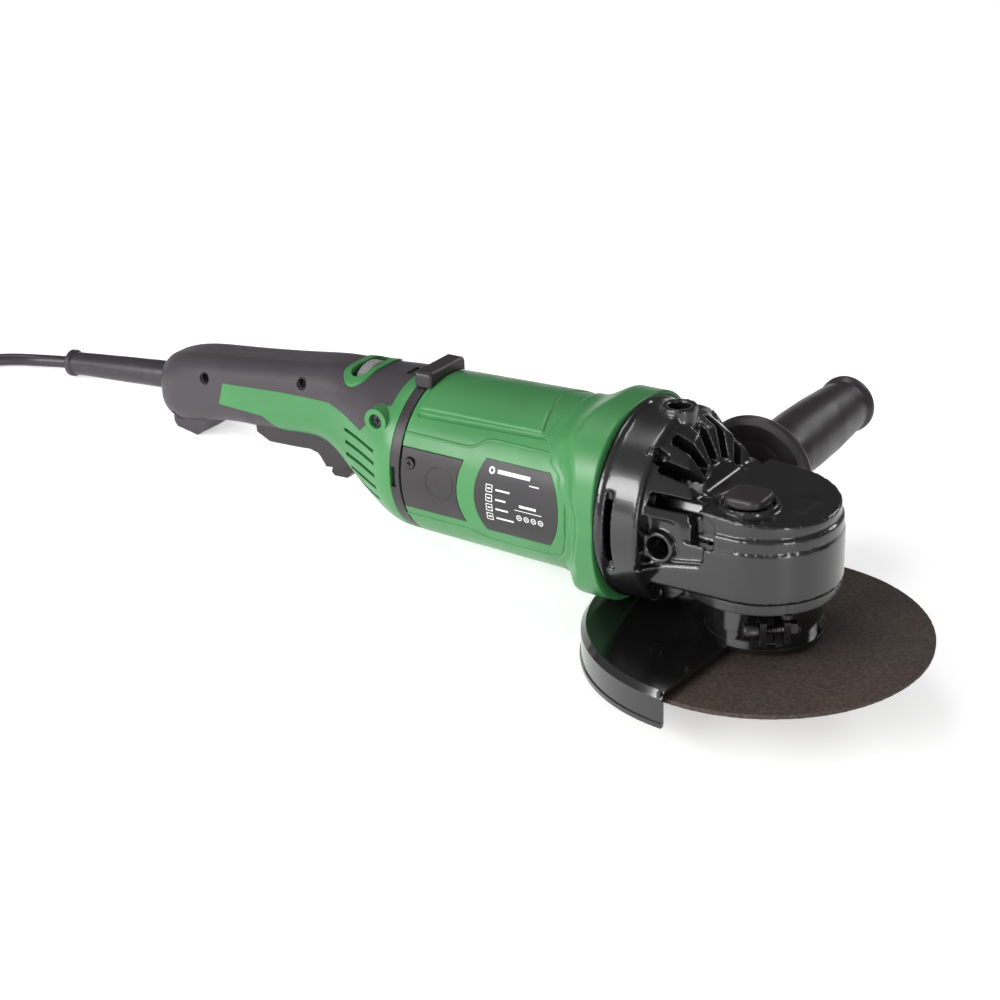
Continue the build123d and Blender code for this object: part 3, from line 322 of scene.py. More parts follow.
def painted(name, colour, roughness, peel_m=1.5e-5, edge_m=9e-4):
    """Glossy black paint over metal: orange peel, dust and bare bright edges."""
    graph = Graph(name)
    place = graph.coords()
    dust = graph.span(graph.noise(place, 210.0, 6.0, 0.7), 0.58, 0.8, 0.0, 0.3)
    body = graph.mix(dust, colour, shade(colour, 2.0))
    worn = graph.math("MULTIPLY", graph.edge_mask(edge_m), 0.16)
    graph.set("Base Color", graph.mix(worn, body, (0.16, 0.155, 0.16)))
    smears = graph.noise(place, 38.0, 6.0, 0.65)
    graph.set("Roughness", graph.span(smears, 0.3, 0.72, roughness, roughness + 0.12))
    peel = graph.noise(place, 420.0, 2.0)
    graph.set("Normal", graph.bump(peel, peel_m, 0.7, graph.rounded(edge_m)))
    graph.set("Specular IOR Level", 0.55)
    graph.set("Coat Weight", 0.35)
    graph.set("Coat Roughness", 0.08)
    return graph.material


TOOL_MARKS = (900.0, 900.0, 40.0)
METAL_EDGE_M = 2.5e-4


def metal(name, colour, roughness):
    """Machined metal with fine tool marks and stains."""
    graph = Graph(name)
    lines = graph.noise(graph.coords(TOOL_MARKS), 1.0, 3.0, 0.6)
    stains = graph.span(graph.noise(graph.coords(), 140.0, 4.0), 0.4, 0.7)
    graph.set("Base Color", graph.mix(stains, colour, shade(colour, 0.72)))
    graph.set("Metallic", 1.0)
    graph.set("Roughness", graph.span(lines, 0.3, 0.7, roughness - 0.08, roughness + 0.12))
    graph.set("Normal", graph.bump(lines, 1e-5, 0.5, graph.rounded(METAL_EDGE_M)))
    return graph.material


def layered(name, colour, gap_colour, pitch_m, metallic, roughness):
    """Stacked sheets or wound wire: fine dark lines across the motor axis."""
    graph = Graph(name)
    bands = graph.waves(graph.coords(), 1.0 / (pitch_m * 20.0), "X", 0.4)
    lines = graph.span(bands, 0.0, 0.3)
    graph.set("Base Color", graph.mix(lines, gap_colour, colour))
    graph.set("Metallic", metallic)
    smears = graph.noise(graph.coords(), 90.0, 3.0)
    graph.set("Roughness", graph.span(smears, 0.3, 0.7, roughness, roughness + 0.2))
    graph.set("Normal", graph.bump(lines, pitch_m * 0.3, 0.6))
    return graph.material


def abrasive(name):
    """Resin-bonded grit over a glass-fibre net, dark brown with pale grains."""
    graph = Graph(name)
    place = graph.coords()
    grit = graph.cells(place, 1150.0)
    fine = graph.noise(place, 2600.0, 3.0, 0.7)
    clouds = graph.span(graph.noise(place, 30.0, 5.0, 0.6), 0.3, 0.7)
    body = graph.mix(clouds, (0.042, 0.027, 0.021), (0.062, 0.041, 0.033))
    speck = graph.span(graph.cells(place, 760.0, output="Color"), 0.62, 0.7)
    near = graph.span(graph.cells(place, 760.0), 0.34, 0.22)
    grains = graph.math("MULTIPLY", speck, near)
    mottle = graph.span(graph.noise(place, 430.0, 4.0, 0.65), 0.36, 0.64)
    coarse = graph.mix(mottle, grey(0.55), grey(1.5))
    toned = graph.mix(graph.span(fine, 0.42, 0.62, 0.0, 0.65), body, (0.016, 0.010, 0.008))
    toned = graph.tint(toned, coarse)
    graph.set("Base Color", graph.mix(graph.math("MULTIPLY", grains, 0.4), toned, (0.12, 0.09, 0.07)))
    graph.set("Roughness", graph.span(fine, 0.3, 0.7, 0.62, 0.9))
    net = graph.math("MAXIMUM", graph.waves(place, 17.0, "X", 0.25), graph.waves(place, 17.0, "Y", 0.25))
    relief = graph.math("ADD", graph.math("ADD", grit, fine), graph.math("MULTIPLY", net, 0.6))
    graph.set("Normal", graph.bump(relief, 1.6e-4, 0.9))
    return graph.material


RUBBER_GRAIN = 900.0


def rubbery(name, colour, roughness):
    """Cable sheath: smooth rubber with faint scuffs and dust."""
    graph = Graph(name)
    place = graph.coords()
    scuffs = graph.span(graph.noise(place, RUBBER_GRAIN * 0.25, 6.0, 0.7), 0.5, 0.75)
    graph.set("Base Color", graph.mix(scuffs, colour, shade(colour, 1.9)))
    smears = graph.noise(place, 70.0, 4.0)
    graph.set("Roughness", graph.span(smears, 0.3, 0.7, roughness - 0.08, roughness + 0.1))
    grain = graph.noise(place, RUBBER_GRAIN, 3.0, 0.6)
    graph.set("Normal", graph.bump(grain, 2e-5, 0.5, graph.rounded(3e-4)))
    return graph.material


def woven(name, colour):
    """Hook-and-loop strap: short crossing loops."""
    graph = Graph(name)
    place = graph.coords()
    loops = graph.math("ADD", graph.cells(place, 1400.0), graph.waves(place, 90.0, "Z", 3.0))
    graph.set("Base Color", graph.mix(graph.span(loops, 0.2, 1.2), shade(colour, 0.6), shade(colour, 1.8)))
    graph.set("Roughness", graph.span(loops, 0.2, 1.2, 0.75, 0.95))
    graph.set("Sheen Weight", 0.3)
    graph.set("Normal", graph.bump(loops, 2e-4, 0.8))
    return graph.material


def printed(name):
    """White print with slight wear."""
    graph = Graph(name)
    worn = graph.span(graph.noise(graph.coords(), 900.0, 4.0, 0.6), 0.62, 0.75)
    graph.set("Base Color", graph.mix(worn, (0.72, 0.72, 0.72), (0.3, 0.3, 0.3)))
    graph.set("Roughness", graph.span(worn, 0.0, 1.0, 0.4, 0.6))
    return graph.material


def make_materials():
    """One material for each of the record's slots, and one for the print on the plates."""
    laminated = ((0.32, 0.31, 0.31), (0.05, 0.05, 0.05))
    return {
        "green_plastic": moulded("green_plastic", (0.043, 0.195, 0.060), 0.34, 1500.0, 1.6e-5, 7e-4, 0.18),
        "soft_grip": moulded("soft_grip", (0.040, 0.033, 0.039), 0.46, 1900.0, 3e-5, 8e-4, 0.2),
        "dark_plastic": moulded("dark_plastic", (0.022, 0.0175, 0.0205), 0.38, 1500.0, 2.5e-5, 5e-4, 0.2),
        "plate_black": moulded("plate_black", (0.020, 0.018, 0.020), 0.42, 2600.0, 1e-5, 2e-4, 0.1),
        "dial_grey": moulded("dial_grey", (0.20, 0.195, 0.2), 0.42, 1500.0, 2e-5, 3e-4, 0.4),
        "plug_black": moulded("plug_black", (0.020, 0.019, 0.020), 0.4, 1300.0, 2e-5, 8e-4, 0.2),
        "board": moulded("board", (0.02, 0.11, 0.05), 0.35),
        "carbon": moulded("carbon", (0.03, 0.03, 0.032), 0.6),
        "black_cast_head": painted("black_cast_head", (0.0065, 0.0062, 0.0066), 0.17, 2.2e-5, 1.1e-3),
        "black_gloss_paint": painted("black_gloss_paint", (0.0055, 0.0053, 0.0056), 0.10, 1.0e-5, 5e-4),
        "bright_steel": metal("bright_steel", (0.56, 0.55, 0.54), 0.3),
        "black_steel": metal("black_steel", (0.075, 0.07, 0.072), 0.38),
        "plug_metal": metal("plug_metal", (0.7, 0.68, 0.64), 0.22),
        "brass": metal("brass", (0.70, 0.50, 0.22), 0.3),
        "laminated_steel": layered("laminated_steel", *laminated, 5e-4, 1.0, 0.35),
        "copper": layered("copper", (0.62, 0.25, 0.10), (0.10, 0.03, 0.012), 6e-4, 0.9, 0.3),
        "abrasive": abrasive("abrasive"),
        "cable_black": rubbery("cable_black", (0.022, 0.019, 0.022), 0.36),
        "tie_black": woven("tie_black", (0.02, 0.02, 0.02)),
        "printed": printed("printed"),
    }


def dress_nodes(materials):
    """Gives every CAD node the material of its record slot."""
    for part in frame["record"]["subparts"]:
        node = NODES[part["node"]]
        node.data.materials.clear()
        node.data.materials.append(materials[part["material_slot"]])


def finish_piece(piece, body, slot, material, *replaced):
    """Gives a piece its material and body, and hides the CAD nodes that it replaces."""
    piece.data.materials.clear()
    piece.data.materials.append(material)
    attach(piece, body)
    if replaced:
        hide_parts(*replaced)
    return piece


# ---- the mains cord, in the row frame ----
CORD_D = 7.5
COIL_CENTRE = (-421.3, -128.0)
COIL_TURNS = 9
TURN_POINTS = 16
COLUMN_R = (48.6, 41.0, 33.4)
LAYER_STEP = 7.7
FIRST_LAYER_Z = 4.15
COIL_START = -21.0
JOG_SHARE = 0.22
CLIMB_SHIFT = 2.8
LEAD_POINTS = [
    (-339.3, -59.5, 4.6),
    (-356.3, -73.0, 3.9),
    (-368.3, -92.0, 3.9),
    (-371.3, -114.0, 3.9),
    (-372.7, -138.0, 3.9),
]
TAIL_POINTS = [(-450.8, -152.0, 28.2), (-453.9, -143.0, 29.9), (-454.3, -136.5, 31.6)]
# The last stretch lies on top of the coil; its angles are in degrees.
TOP_POINTS = 5
TOP_LEAD_ANGLE, TOP_STEP_ANGLE = 14.0, 24.0
TOP_RADIUS, TOP_RADIUS_STEP = 35.0, 1.2
TOP_LIFT = 0.2
RELIEF_TIP = (-475.6, -9.3, 68.4)


def coil_point(turns):
    """A control point of the coil, counted in turns; odd layers wind inward and even ones outward."""
    turn = min(int(turns), COIL_TURNS - 1)
    share = turns - turn
    jog = max(0.0, min(1.0, (share - (1.0 - JOG_SHARE)) / JOG_SHARE))
    jog = jog * jog * (3.0 - 2.0 * jog)
    radius, layer = coil_place(turn)
    next_radius, next_layer = coil_place(turn + 1)
    height = FIRST_LAYER_Z + LAYER_STEP * (layer + (next_layer - layer) * jog)
    bulge = 0.0
    if next_layer != layer:
        bulge = CLIMB_SHIFT * math.sin(math.pi * jog) * (1.0 if radius > COLUMN_R[1] else -1.0)
    along = radius + (next_radius - radius) * jog + bulge
    angle = math.radians(COIL_START) - 2.0 * math.pi * turns
    reach = along / (0.75 + 0.25 * math.cos(2.0 * math.pi / TURN_POINTS))
    x = COIL_CENTRE[0] + reach * math.cos(angle)
    y = COIL_CENTRE[1] + reach * math.sin(angle)
    return (x, y, height)


def coil_place(turn):
    """Radius and layer of a whole turn."""
    layer = turn // len(COLUMN_R)
    column = turn % len(COLUMN_R)
    if layer % 2:
        column = len(COLUMN_R) - 1 - column
    return COLUMN_R[column], layer


def cord_points(exit_point_m):
    coil = [coil_point(index / TURN_POINTS) for index in range(1, COIL_TURNS * TURN_POINTS)]
    over = [coil_top_point(index) for index in range(TOP_POINTS)]
    return [exit_point_m] + metres(LEAD_POINTS + coil + over + TAIL_POINTS)


def coil_top_point(index):
    """The last part of a turn, which lies on top of the coil on its way to the plug."""
    angle = math.radians(COIL_START - TOP_LEAD_ANGLE - index * TOP_STEP_ANGLE)
    radius = TOP_RADIUS + TOP_RADIUS_STEP * index
    height = FIRST_LAYER_Z + COIL_TURNS / len(COLUMN_R) * LAYER_STEP + TOP_LIFT
    x = COIL_CENTRE[0] + radius * math.cos(angle)
    y = COIL_CENTRE[1] + radius * math.sin(angle)
    return (x, y, height)


def nurbs_curve(name, points_m, radius_m):
    data = bpy.data.curves.new(name, "CURVE")
    data.dimensions = "3D"
    data.bevel_depth = radius_m
    data.bevel_resolution = 4
    data.use_fill_caps = True
    spline = data.splines.new("NURBS")
    spline.points.add(len(points_m) - 1)
    for slot, point in zip(spline.points, points_m):
        slot.co = (*point, 1.0)
    spline.order_u = 3
    spline.use_endpoint_u = True
    spline.resolution_u = 6
    made = bpy.data.objects.new(name, data)
    bpy.context.scene.collection.objects.link(made)
    return made


def make_cord(materials):
    """The whole lead as one curve, from the strain relief through the coil to the plug."""
    tip = relief_tip()
    cord = nurbs_curve("mains_cord", cord_points(tip), CORD_D / 2 * MM)
    finish_piece(cord, "rear_handle", "cable_black", materials["cable_black"], "cord_lead", "cord_coil")


def relief_tip():
    """Where the cord leaves the strain relief."""
    return in_row(RELIEF_TIP)


# ---- prints on the rating plates ----
HOUSING_BACK_X, HOUSING_FRONT_X = -196.0, -92.0
HOUSING_R_BACK, HOUSING_R_FRONT = 45.8, 48.1
PLATE_MIDDLE_X = -121.0
PRINT_PROUD = 0.24


def housing_radius(x):
    share = (x - HOUSING_BACK_X) / (HOUSING_FRONT_X - HOUSING_BACK_X)
    return HOUSING_R_BACK + (HOUSING_R_FRONT - HOUSING_R_BACK) * share


def on_housing(x, z, side, proud):
    """A point on the housing's surface at height z, on one side, raised by proud."""
    radius = housing_radius(x) + proud
    rise = z - MOTOR_Z
    return in_row((x, side * math.sqrt(radius * radius - rise * rise), z))


# Bars of the plate print as (left, right, low, high), and rings as (across, up, radius, width).
TITLE_BARS = [(-12.0, 8.5, 77.6, 79.6), (8.5, 14.5, 74.9, 75.5)]
TITLE_RING = (-15.6, 78.6, 1.9, 1.0)
ROW_LENGTHS = (9.0, 6.6, 8.0, 11.0)
ROW_TOP, ROW_STEP = 70.4, 5.4
ROW_TEXT_LEFT = -12.2
SIDE_BARS = [(3.0, 13.5, 62.4, 63.8), (0.0, 17.0, 60.3, 60.7)]
BADGE_COUNT, BADGE_LEFT, BADGE_STEP = 4, 2.6, 4.5
BADGE_UP, BADGE_R, BADGE_LINE, BADGE_HALF = 56.2, 1.65, 0.5, 0.6
BAR_STEP = 1.2


class Print:
    """Flat marks on one rating plate; across runs rearward to forward as the plate is read."""

    def __init__(self, side):
        self.side = side
        self.vertices = []
        self.faces = []

    def point(self, across, up):
        x = PLATE_MIDDLE_X - self.side * across
        return on_housing(x, up, self.side, PRINT_PROUD)

    def strip(self, rows):
        """Adds quads between pairs of (left, right) plate points, given row by row."""
        first = len(self.vertices)
        for left, right in rows:
            self.vertices += [self.point(*left), self.point(*right)]
        for row in range(len(rows) - 1):
            a = first + 2 * row
            face = (a, a + 1, a + 3, a + 2)
            self.faces.append(face if self.side < 0 else face[::-1])

    def bar(self, left, right, low, high):
        steps = max(1, math.ceil((high - low) / BAR_STEP))
        levels = [low + (high - low) * step / steps for step in range(steps + 1)]
        self.strip([((left, level), (right, level)) for level in levels])

    def frame(self, left, right, low, high, width):
        self.bar(left, right, low, low + width)
        self.bar(left, right, high - width, high)
        self.bar(left, left + width, low + width, high - width)
        self.bar(right - width, right, low + width, high - width)

    def ring(self, across, up, radius, width, segments=28):
        rows = []
        for step in range(segments + 1):
            angle = 2 * math.pi * step / segments
            c, s = math.cos(angle), math.sin(angle)
            rows.append((
                (across + radius * c, up + radius * s),
                (across + (radius - width) * c, up + (radius - width) * s),
            ))
        self.strip(rows)


def plate_print(side, materials):
    """Plain bars, frames and rings in place of the plate's text and symbols."""
    marks = Print(side)
    for bar in TITLE_BARS:
        marks.bar(*bar)
    marks.ring(*TITLE_RING)
    for row, length in enumerate(ROW_LENGTHS):
        base = ROW_TOP - row * ROW_STEP
        marks.frame(-18.4, -14.2, base - 3.4, base + 0.8, 0.45)
        marks.bar(-17.3, -15.3, base - 1.7, base - 0.9)
        marks.bar(ROW_TEXT_LEFT, ROW_TEXT_LEFT + length, base - 1.9, base - 0.9)
    for bar in SIDE_BARS:
        marks.bar(*bar)
    for index in range(BADGE_COUNT):
        middle = BADGE_LEFT + index * BADGE_STEP
        marks.ring(middle, BADGE_UP, BADGE_R, BADGE_LINE)
        marks.bar(middle - BADGE_HALF, middle + BADGE_HALF, BADGE_UP - 0.3, BADGE_UP + 0.3)
    name = "plate_print_right" if side < 0 else "plate_print_left"
    piece = mesh_object(name, marks.vertices, marks.faces)
    return finish_piece(piece, "root", "plate_black", materials["printed"])


# ---- the disc ----
DISC_R, DISC_T, DISC_HOLE_R = 90.0, 2.6, 11.1
DISC_EDGE, DISC_EDGE_DEPTH = 0.3, 0.35


def make_disc(materials):
    """The abrasive disc with a grainy surface and a slightly ragged rim."""
    rings, spokes = 76, 300
    face = DISC_R - DISC_HOLE_R - DISC_EDGE
    vertices = []
    profile = [(DISC_HOLE_R, -DISC_T)]
    profile += [(DISC_HOLE_R + face * i / rings, 0.0) for i in range(rings + 1)]
    profile += [(DISC_R, -DISC_EDGE_DEPTH), (DISC_R, -DISC_T + DISC_EDGE_DEPTH)]
    profile += [(DISC_R - DISC_EDGE - face * i / rings, -DISC_T) for i in range(rings)]
    for radius, height in profile:
        for spoke in range(spokes):
            angle = 2 * math.pi * spoke / spokes
            x, y = radius * math.cos(angle), radius * math.sin(angle)
            grain = noise.noise(Vector((x * 0.9, y * 0.9, height)))
            waves = noise.noise(Vector((x * 0.08, y * 0.08, 5.0 + height)))
            depth = 0.05 * (grain + 1.0) + 0.03 * (waves + 1.0)
            ragged = 1.0 - 0.0022 * (grain + 1.0) * (radius > DISC_R - 1.0)
            inward = -depth if height > -DISC_T / 2 else depth
            if radius <= DISC_HOLE_R:
                inward = 0.0
            vertices.append(in_row((x * ragged, y * ragged, height + inward)))
    faces = grid_faces(len(profile), spokes, True)
    disc = mesh_object("abrasive_disc", vertices, faces)
    return finish_piece(disc, "spindle", "abrasive", materials["abrasive"], "grinding_disc")


# ---- cast and moulded parts with their edges rounded over ----
def applied(piece):
    """Applies every modifier of a piece and shades it smooth."""
    shape = piece.evaluated_get(bpy.context.evaluated_depsgraph_get())
    piece.data = bpy.data.meshes.new_from_object(shape)
    piece.modifiers.clear()
    piece.data.polygons.foreach_set("use_smooth", [True] * len(piece.data.polygons))
    return piece


def rounded_copy(node, name, voxel_m, passes, keep):
    """A copy of a CAD node with soft edges, as a casting has them."""
    mesh = NODES[node].data.copy()
    work = bmesh.new()
    work.from_mesh(mesh)
    bmesh.ops.remove_doubles(work, verts=work.verts, dist=1e-6)
    work.to_mesh(mesh)
    work.free()
    piece = bpy.data.objects.new(name, mesh)
    bpy.context.scene.collection.objects.link(piece)
    voxels = piece.modifiers.new("voxels", "REMESH")
    voxels.mode = "VOXEL"
    voxels.voxel_size = voxel_m
    smooth = piece.modifiers.new("smooth", "SMOOTH")
    smooth.factor = 0.5
    smooth.iterations = passes
    thin = piece.modifiers.new("thin", "DECIMATE")
    thin.ratio = keep
    return applied(piece)


# ---- raised forms on the motor housing ----
def housing_base(x):
    """Radius of the CAD housing at x."""
    outline = [(-197.0, 45.8), (-92.0, 48.1), (-87.0, 48.1), (-83.0, 49.0), (-79.0, 51.2), (-75.5, 53.2),
               (-72.0, 54.0), (-70.0, 54.0)]
    for (x0, r0), (x1, r1) in zip(outline, outline[1:]):
        if x <= x1:
            return r0 + (r1 - r0) * (x - x0) / (x1 - x0)
    return outline[-1][1]


def table_value(table, at):
    """Smooth value of a table of (place, value) rows."""
    if at <= table[0][0]:
        return table[0][1]
    for (a0, v0), (a1, v1) in zip(table, table[1:]):
        if at <= a1:
            share = (at - a0) / (a1 - a0)
            share = share * share * (3 - 2 * share)
            return v0 + (v1 - v0) * share
    return table[-1][1]


# The angle is 0 at the top, 90 at either side and 180 underneath.
STEP_X = [(0, -107), (40, -111), (55, -104), (65, -97), (90, -88.5), (112, -93), (130, -102), (180, -107)]
RIM_X = [(0, -83), (40, -87), (65, -81), (90, -77.5), (115, -81), (135, -87), (180, -83)]
RIM_R = 54.3
RIM_POWER = 2.5
FLARE_LEAD, FLARE_END_X, FLARE_SINK = 2.0, -70.2, 0.6
FLARE_STEPS, FLARE_BACK_STEPS, FLARE_SPOKES = 64, 8, 240
STEP_HEIGHT, STEP_WIDTH = 0.75, 2.4


def around_housing(x, angle, radius):
    """A point at an angle from the top, in degrees, positive toward the near side."""
    turn = math.radians(angle)
    return in_row((x, -radius * math.sin(turn), MOTOR_Z + radius * math.cos(turn)))


def rim_radius(angle):
    turn = math.radians(angle)
    c, s = abs(math.cos(turn)), abs(math.sin(turn))
    return RIM_R / (c ** RIM_POWER + s ** RIM_POWER) ** (1 / RIM_POWER)


def ease(value):
    value = max(0.0, min(1.0, value))
    return value * value * (3 - 2 * value)


def from_top(angle):
    """An angle's distance from the top, 0 to 180 degrees."""
    return abs((angle + 180) % 360 - 180)


def flare_place(share, angle):
    """The flare's x, from its rear edge at share 0 to its front at share 1."""
    start = table_value(STEP_X, from_top(angle)) - FLARE_LEAD
    return start + (FLARE_END_X - start) * share


def flare_radius(x, angle):
    """Outer radius of the housing's squared front flare."""
    away = from_top(angle)
    step, rim = table_value(STEP_X, away), table_value(RIM_X, away)
    raised = housing_base(x) + STEP_HEIGHT * ease((x - step) / STEP_WIDTH) - 0.12
    swell = ease((x - step - 4.0) / (rim - step - 4.0)) ** 1.5
    target = rim_radius(angle)
    radius = raised + max(0.0, target - raised) * swell
    return radius if x < rim else max(target, housing_base(x) + 0.3)


def make_flare(materials):
    """The housing's front flare: a soft step, then a squared rim, closed on its inside."""
    spokes = FLARE_SPOKES
    angles = [360.0 * spoke / spokes for spoke in range(spokes)]
    vertices = []
    for index in range(FLARE_STEPS + 1):
        turned_in = 0.5 if index == FLARE_STEPS else 0.0
        for angle in angles:
            x = flare_place(index / FLARE_STEPS, angle)
            vertices.append(around_housing(x, angle, flare_radius(x, angle) - turned_in))
    for index in range(FLARE_BACK_STEPS + 1):
        for angle in angles:
            x = flare_place(1.0 - index / FLARE_BACK_STEPS, angle)
            vertices.append(around_housing(x, angle, housing_base(x) - FLARE_SINK))
    rows = FLARE_STEPS + FLARE_BACK_STEPS + 2
    faces = grid_faces(rows, spokes, True)
    first = (rows - 1) * spokes
    faces += [(first + i, first + (i + 1) % spokes, (i + 1) % spokes, i) for i in range(spokes)]
    flare = mesh_object("housing_flare", vertices, [face[::-1] for face in faces])
    return finish_piece(flare, "root", "green_plastic", materials["green_plastic"])


PAD_HALF_ANGLE = 39.0
PAD_BACK_X, PAD_FRONT_X = -193.5, -113.0
PAD_SKEW = 0.16
PAD_MM_PER_DEGREE = 0.84
PAD_HEIGHT, PAD_EDGE, PAD_SINK = 0.62, 1.1, 0.06
PAD_ROWS = PAD_COLUMNS = 60


def pad_point(row, column, raised):
    """A point of the top panel's outer skin, or of its hidden underside."""
    angle = -PAD_HALF_ANGLE + 2 * PAD_HALF_ANGLE * column / PAD_COLUMNS
    end = PAD_FRONT_X - PAD_SKEW * (PAD_HALF_ANGLE - abs(angle))
    x = PAD_BACK_X + (end - PAD_BACK_X) * row / PAD_ROWS
    border = min((PAD_HALF_ANGLE - abs(angle)) * PAD_MM_PER_DEGREE, x - PAD_BACK_X, end - x)
    height = PAD_HEIGHT * ease(border / PAD_EDGE) - PAD_SINK if raised else -0.5
    return around_housing(x, angle, housing_base(x) + height)


def make_top_pad(materials):
    """The slightly raised panel along the top of the housing."""
    width = PAD_COLUMNS + 1
    count = (PAD_ROWS + 1) * width
    vertices = [
        pad_point(row, column, raised)
        for raised in (False, True) for row in range(PAD_ROWS + 1) for column in range(width)
    ]
    under = grid_faces(PAD_ROWS + 1, width, False)
    faces = [tuple(i + count for i in face[::-1]) for face in under] + under
    border = list(range(width)) + [row * width + PAD_COLUMNS for row in range(1, PAD_ROWS + 1)]
    border += [PAD_ROWS * width + column for column in range(PAD_COLUMNS - 1, -1, -1)]
    border += [row * width for row in range(PAD_ROWS - 1, 0, -1)]
    for here, after in zip(border, border[1:] + border[:1]):
        faces.append((after, here, here + count, after + count))
    pad = mesh_object("housing_top_panel", vertices, faces)
    return finish_piece(pad, "root", "green_plastic", materials["green_plastic"])


RIDGE_PATH = [(-196.4, 86.6), (-153.0, 86.6), (-149.5, 87.4), (-146.0, 91.0), (-142.5, 92.0), (-104.0, 92.0),
              (-99.0, 90.8), (-94.0, 86.0), (-91.0, 77.0), (-90.2, 63.0), (-91.0, 50.0), (-94.0, 41.0),
              (-99.0, 36.0), (-104.0, 34.8), (-142.5, 34.8), (-149.0, 37.0), (-154.0, 39.0), (-196.4, 39.0)]
RIDGE_STEP, RIDGE_SMOOTHING = 1.5, 6
RIDGE_SECTION = [(-0.75, -0.3), (-0.6, 0.18), (-0.3, 0.4), (0.0, 0.46), (0.3, 0.4), (0.6, 0.18), (0.75, -0.3)]


def make_ridge(side, materials):
    """The fine raised line round the brush cover and the rating plate."""
    path = []
    for (x0, z0), (x1, z1) in zip(RIDGE_PATH, RIDGE_PATH[1:]):
        count = max(1, round(math.hypot(x1 - x0, z1 - z0) / RIDGE_STEP))
        path += [(x0 + (x1 - x0) * i / count, z0 + (z1 - z0) * i / count) for i in range(count)]
    path.append(RIDGE_PATH[-1])
    for _ in range(RIDGE_SMOOTHING):
        middle = [((a[0] + 2 * b[0] + c[0]) / 4, (a[1] + 2 * b[1] + c[1]) / 4)
                  for a, b, c in zip(path, path[1:], path[2:])]
        path = [path[0]] + middle + [path[-1]]
    vertices = []
    for index, (x, z) in enumerate(path):
        before, after = path[max(0, index - 1)], path[min(len(path) - 1, index + 1)]
        along = Vector((after[0] - before[0], after[1] - before[1])).normalized()
        for offset, height in RIDGE_SECTION:
            px, pz = x - along.y * offset, z + along.x * offset
            radius = housing_base(px) + height
            rise = pz - MOTOR_Z
            vertices.append(in_row((px, side * math.sqrt(radius * radius - rise * rise), pz)))
    width = len(RIDGE_SECTION)
    faces = grid_faces(len(path), width, True)
    faces += [tuple(range(width))[::-1], tuple(range(len(vertices) - width, len(vertices)))]
    if side < 0:
        faces = [face[::-1] for face in faces]
    name = "housing_line_right" if side < 0 else "housing_line_left"
    line = mesh_object(name, vertices, faces)
    return finish_piece(line, "root", "green_plastic", materials["green_plastic"])


# ---- guard clamp bolt with a real thread ----
BOLT_REACH, BOLT_Z = 36.5, 18.5
BOLT_R, BOLT_PITCH = 2.5, 1.25
BOLT_HEAD_Y, BOLT_SHOULDER_Y, BOLT_END_Y = -15.5, -7.75, 13.5
CLAMP_ANGLE = -54.0
BOLT_SPOKES, THREAD_ROWS_PER_PITCH = 36, 10
THREAD_DEPTH, THREAD_FADE = 0.5, 0.8
SOCKET_R, SOCKET_FLOOR_Y, SOCKET_SIDES = 2.2, -12.6, 6
# The head as (radius, place along the bolt, sides); 0 sides are round.
BOLT_HEAD = [
    (0.0, SOCKET_FLOOR_Y, SOCKET_SIDES), (SOCKET_R, SOCKET_FLOOR_Y, SOCKET_SIDES),
    (SOCKET_R, BOLT_HEAD_Y, SOCKET_SIDES), (3.9, BOLT_HEAD_Y, 0), (4.25, -15.2, 0), (4.4, -14.7, 0),
    (4.4, -8.1, 0), (4.1, BOLT_SHOULDER_Y, 0), (2.45, BOLT_SHOULDER_Y, 0),
]


def on_clamp(radius, turn, y):
    """A point round the clamp bolt's axis."""
    spin = math.radians(CLAMP_ANGLE)
    x, z = BOLT_REACH + radius * math.cos(turn), BOLT_Z + radius * math.sin(turn)
    return in_row((x * math.cos(spin) - y * math.sin(spin), x * math.sin(spin) + y * math.cos(spin), z))


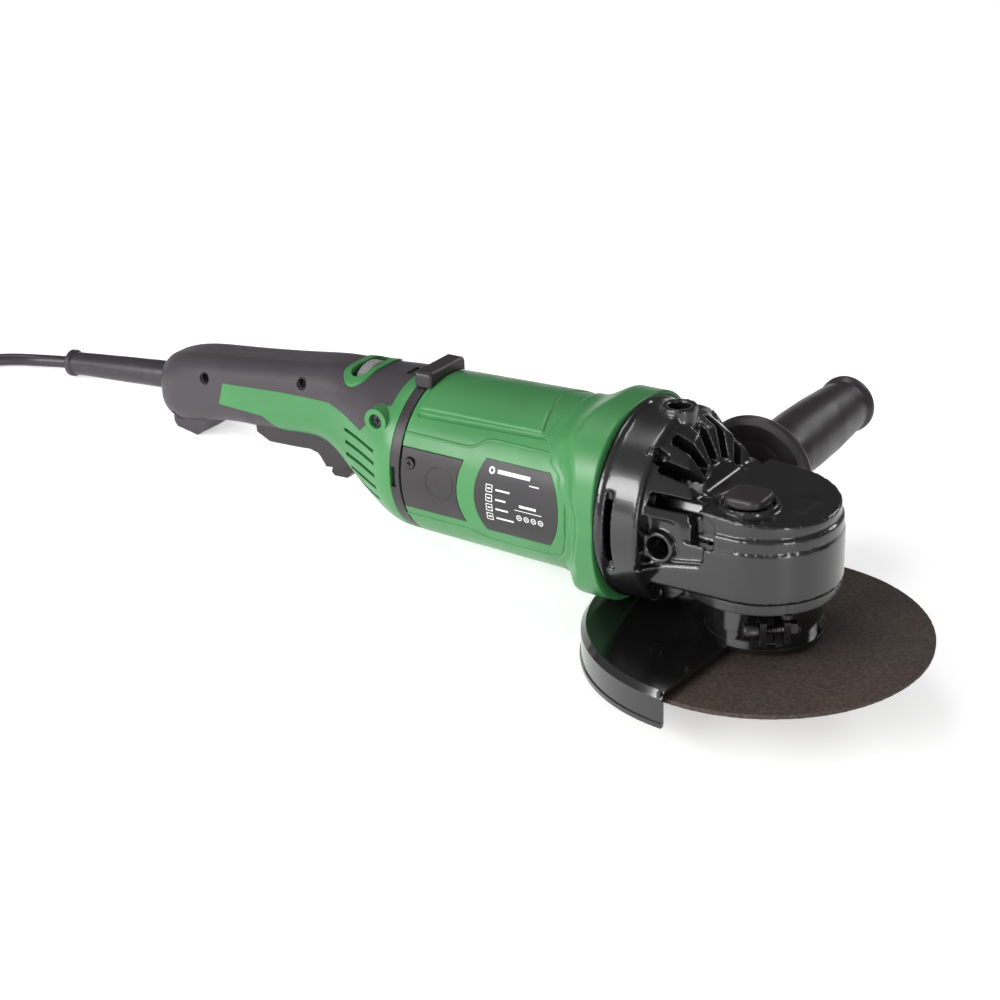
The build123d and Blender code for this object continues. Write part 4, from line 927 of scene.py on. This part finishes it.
def make_clamp_bolt(materials):
    """Socket-head bolt: a round head with a hexagonal socket and a threaded shank."""
    spokes = BOLT_SPOKES
    turns = [2 * math.pi * spoke / spokes for spoke in range(spokes)]
    vertices = []
    for radius, y, sides in BOLT_HEAD:
        for turn in turns:
            reach = radius
            if sides:
                part = (turn + math.pi / sides) % (2 * math.pi / sides) - math.pi / sides
                reach = radius * math.cos(math.pi / sides) / math.cos(part)
            vertices.append(on_clamp(reach, turn, y))
    length = BOLT_END_Y - BOLT_SHOULDER_Y
    count = round(length / BOLT_PITCH * THREAD_ROWS_PER_PITCH)
    for row in range(count + 1):
        y = BOLT_SHOULDER_Y + length * row / count
        fade = ease((BOLT_END_Y - y) / THREAD_FADE)
        for spoke, turn in enumerate(turns):
            phase = (y / BOLT_PITCH - spoke / spokes) % 1.0
            depth = THREAD_DEPTH * abs(2 * phase - 1.0)
            vertices.append(on_clamp(BOLT_R - 0.04 - depth - 0.3 * (1 - fade), turn, y))
    vertices += [on_clamp(0.0, 0.0, BOLT_END_Y + 0.02)] * spokes
    faces = grid_faces(len(vertices) // spokes, spokes, True)
    bolt = mesh_object("clamp_bolt", vertices, faces)
    work = bmesh.new()
    work.from_mesh(bolt.data)
    bmesh.ops.remove_doubles(work, verts=work.verts, dist=1e-6)
    bmesh.ops.recalc_face_normals(work, faces=work.faces)
    work.to_mesh(bolt.data)
    work.free()
    bolt.data.polygons.foreach_set("use_smooth", [True] * len(bolt.data.polygons))
    return finish_piece(bolt, "guard", "black_steel", materials["black_steel"], "guard_clamp_bolt")


# ---- dark sleeves in the handle's screw holes ----
SLEEVE_PLACES = [(-355.0, 83.0), (-281.4, 93.0)]
SLEEVE_SECTION = [(3.55, 15.0), (3.55, 19.9), (3.35, 20.1), (3.0, 19.8), (3.0, 15.0)]
SLEEVE_SPOKES = 40


def make_sleeve(name, x, z, side, materials):
    """A short tube whose section is (radius, distance from the middle plane) points."""
    spokes = SLEEVE_SPOKES
    vertices = []
    for radius, y in SLEEVE_SECTION:
        for spoke in range(spokes):
            turn = 2 * math.pi * spoke / spokes
            place = (x + radius * math.cos(turn), side * y, z + radius * math.sin(turn))
            vertices.append(in_row(place))
    faces = grid_faces(len(SLEEVE_SECTION), spokes, True)
    last = (len(SLEEVE_SECTION) - 1) * spokes
    faces += [(last + i, last + (i + 1) % spokes, (i + 1) % spokes, i) for i in range(spokes)]
    faces = faces if side > 0 else [face[::-1] for face in faces]
    sleeve = mesh_object(name, vertices, faces)
    finish_piece(sleeve, "rear_handle", "dark_plastic", materials["dark_plastic"])


def make_sleeves(materials):
    for side, word in ((-1, "right"), (1, "left")):
        for number, (x, z) in enumerate(SLEEVE_PLACES, 1):
            make_sleeve("screw_sleeve_%s_%d" % (word, number), x, z, side, materials)


# ---- the gear head ----
HEAD_VOXEL_M = 8e-4
HEAD_SMOOTHING = 7
HEAD_KEEP = 0.5


def make_head(materials):
    head = rounded_copy("gear_housing", "cast_gear_head", HEAD_VOXEL_M, HEAD_SMOOTHING, HEAD_KEEP)
    finish_piece(head, "root", "black_cast_head", materials["black_cast_head"], "gear_housing")


# ---- build ----
make_camera()
materials = make_materials()
make_cord(materials)
make_stage()
dress_nodes(materials)
make_disc(materials)
make_head(materials)
make_flare(materials)
make_top_pad(materials)
make_clamp_bolt(materials)
make_sleeves(materials)
for side in (-1, 1):
    plate_print(side, materials)
    make_ridge(side, materials)
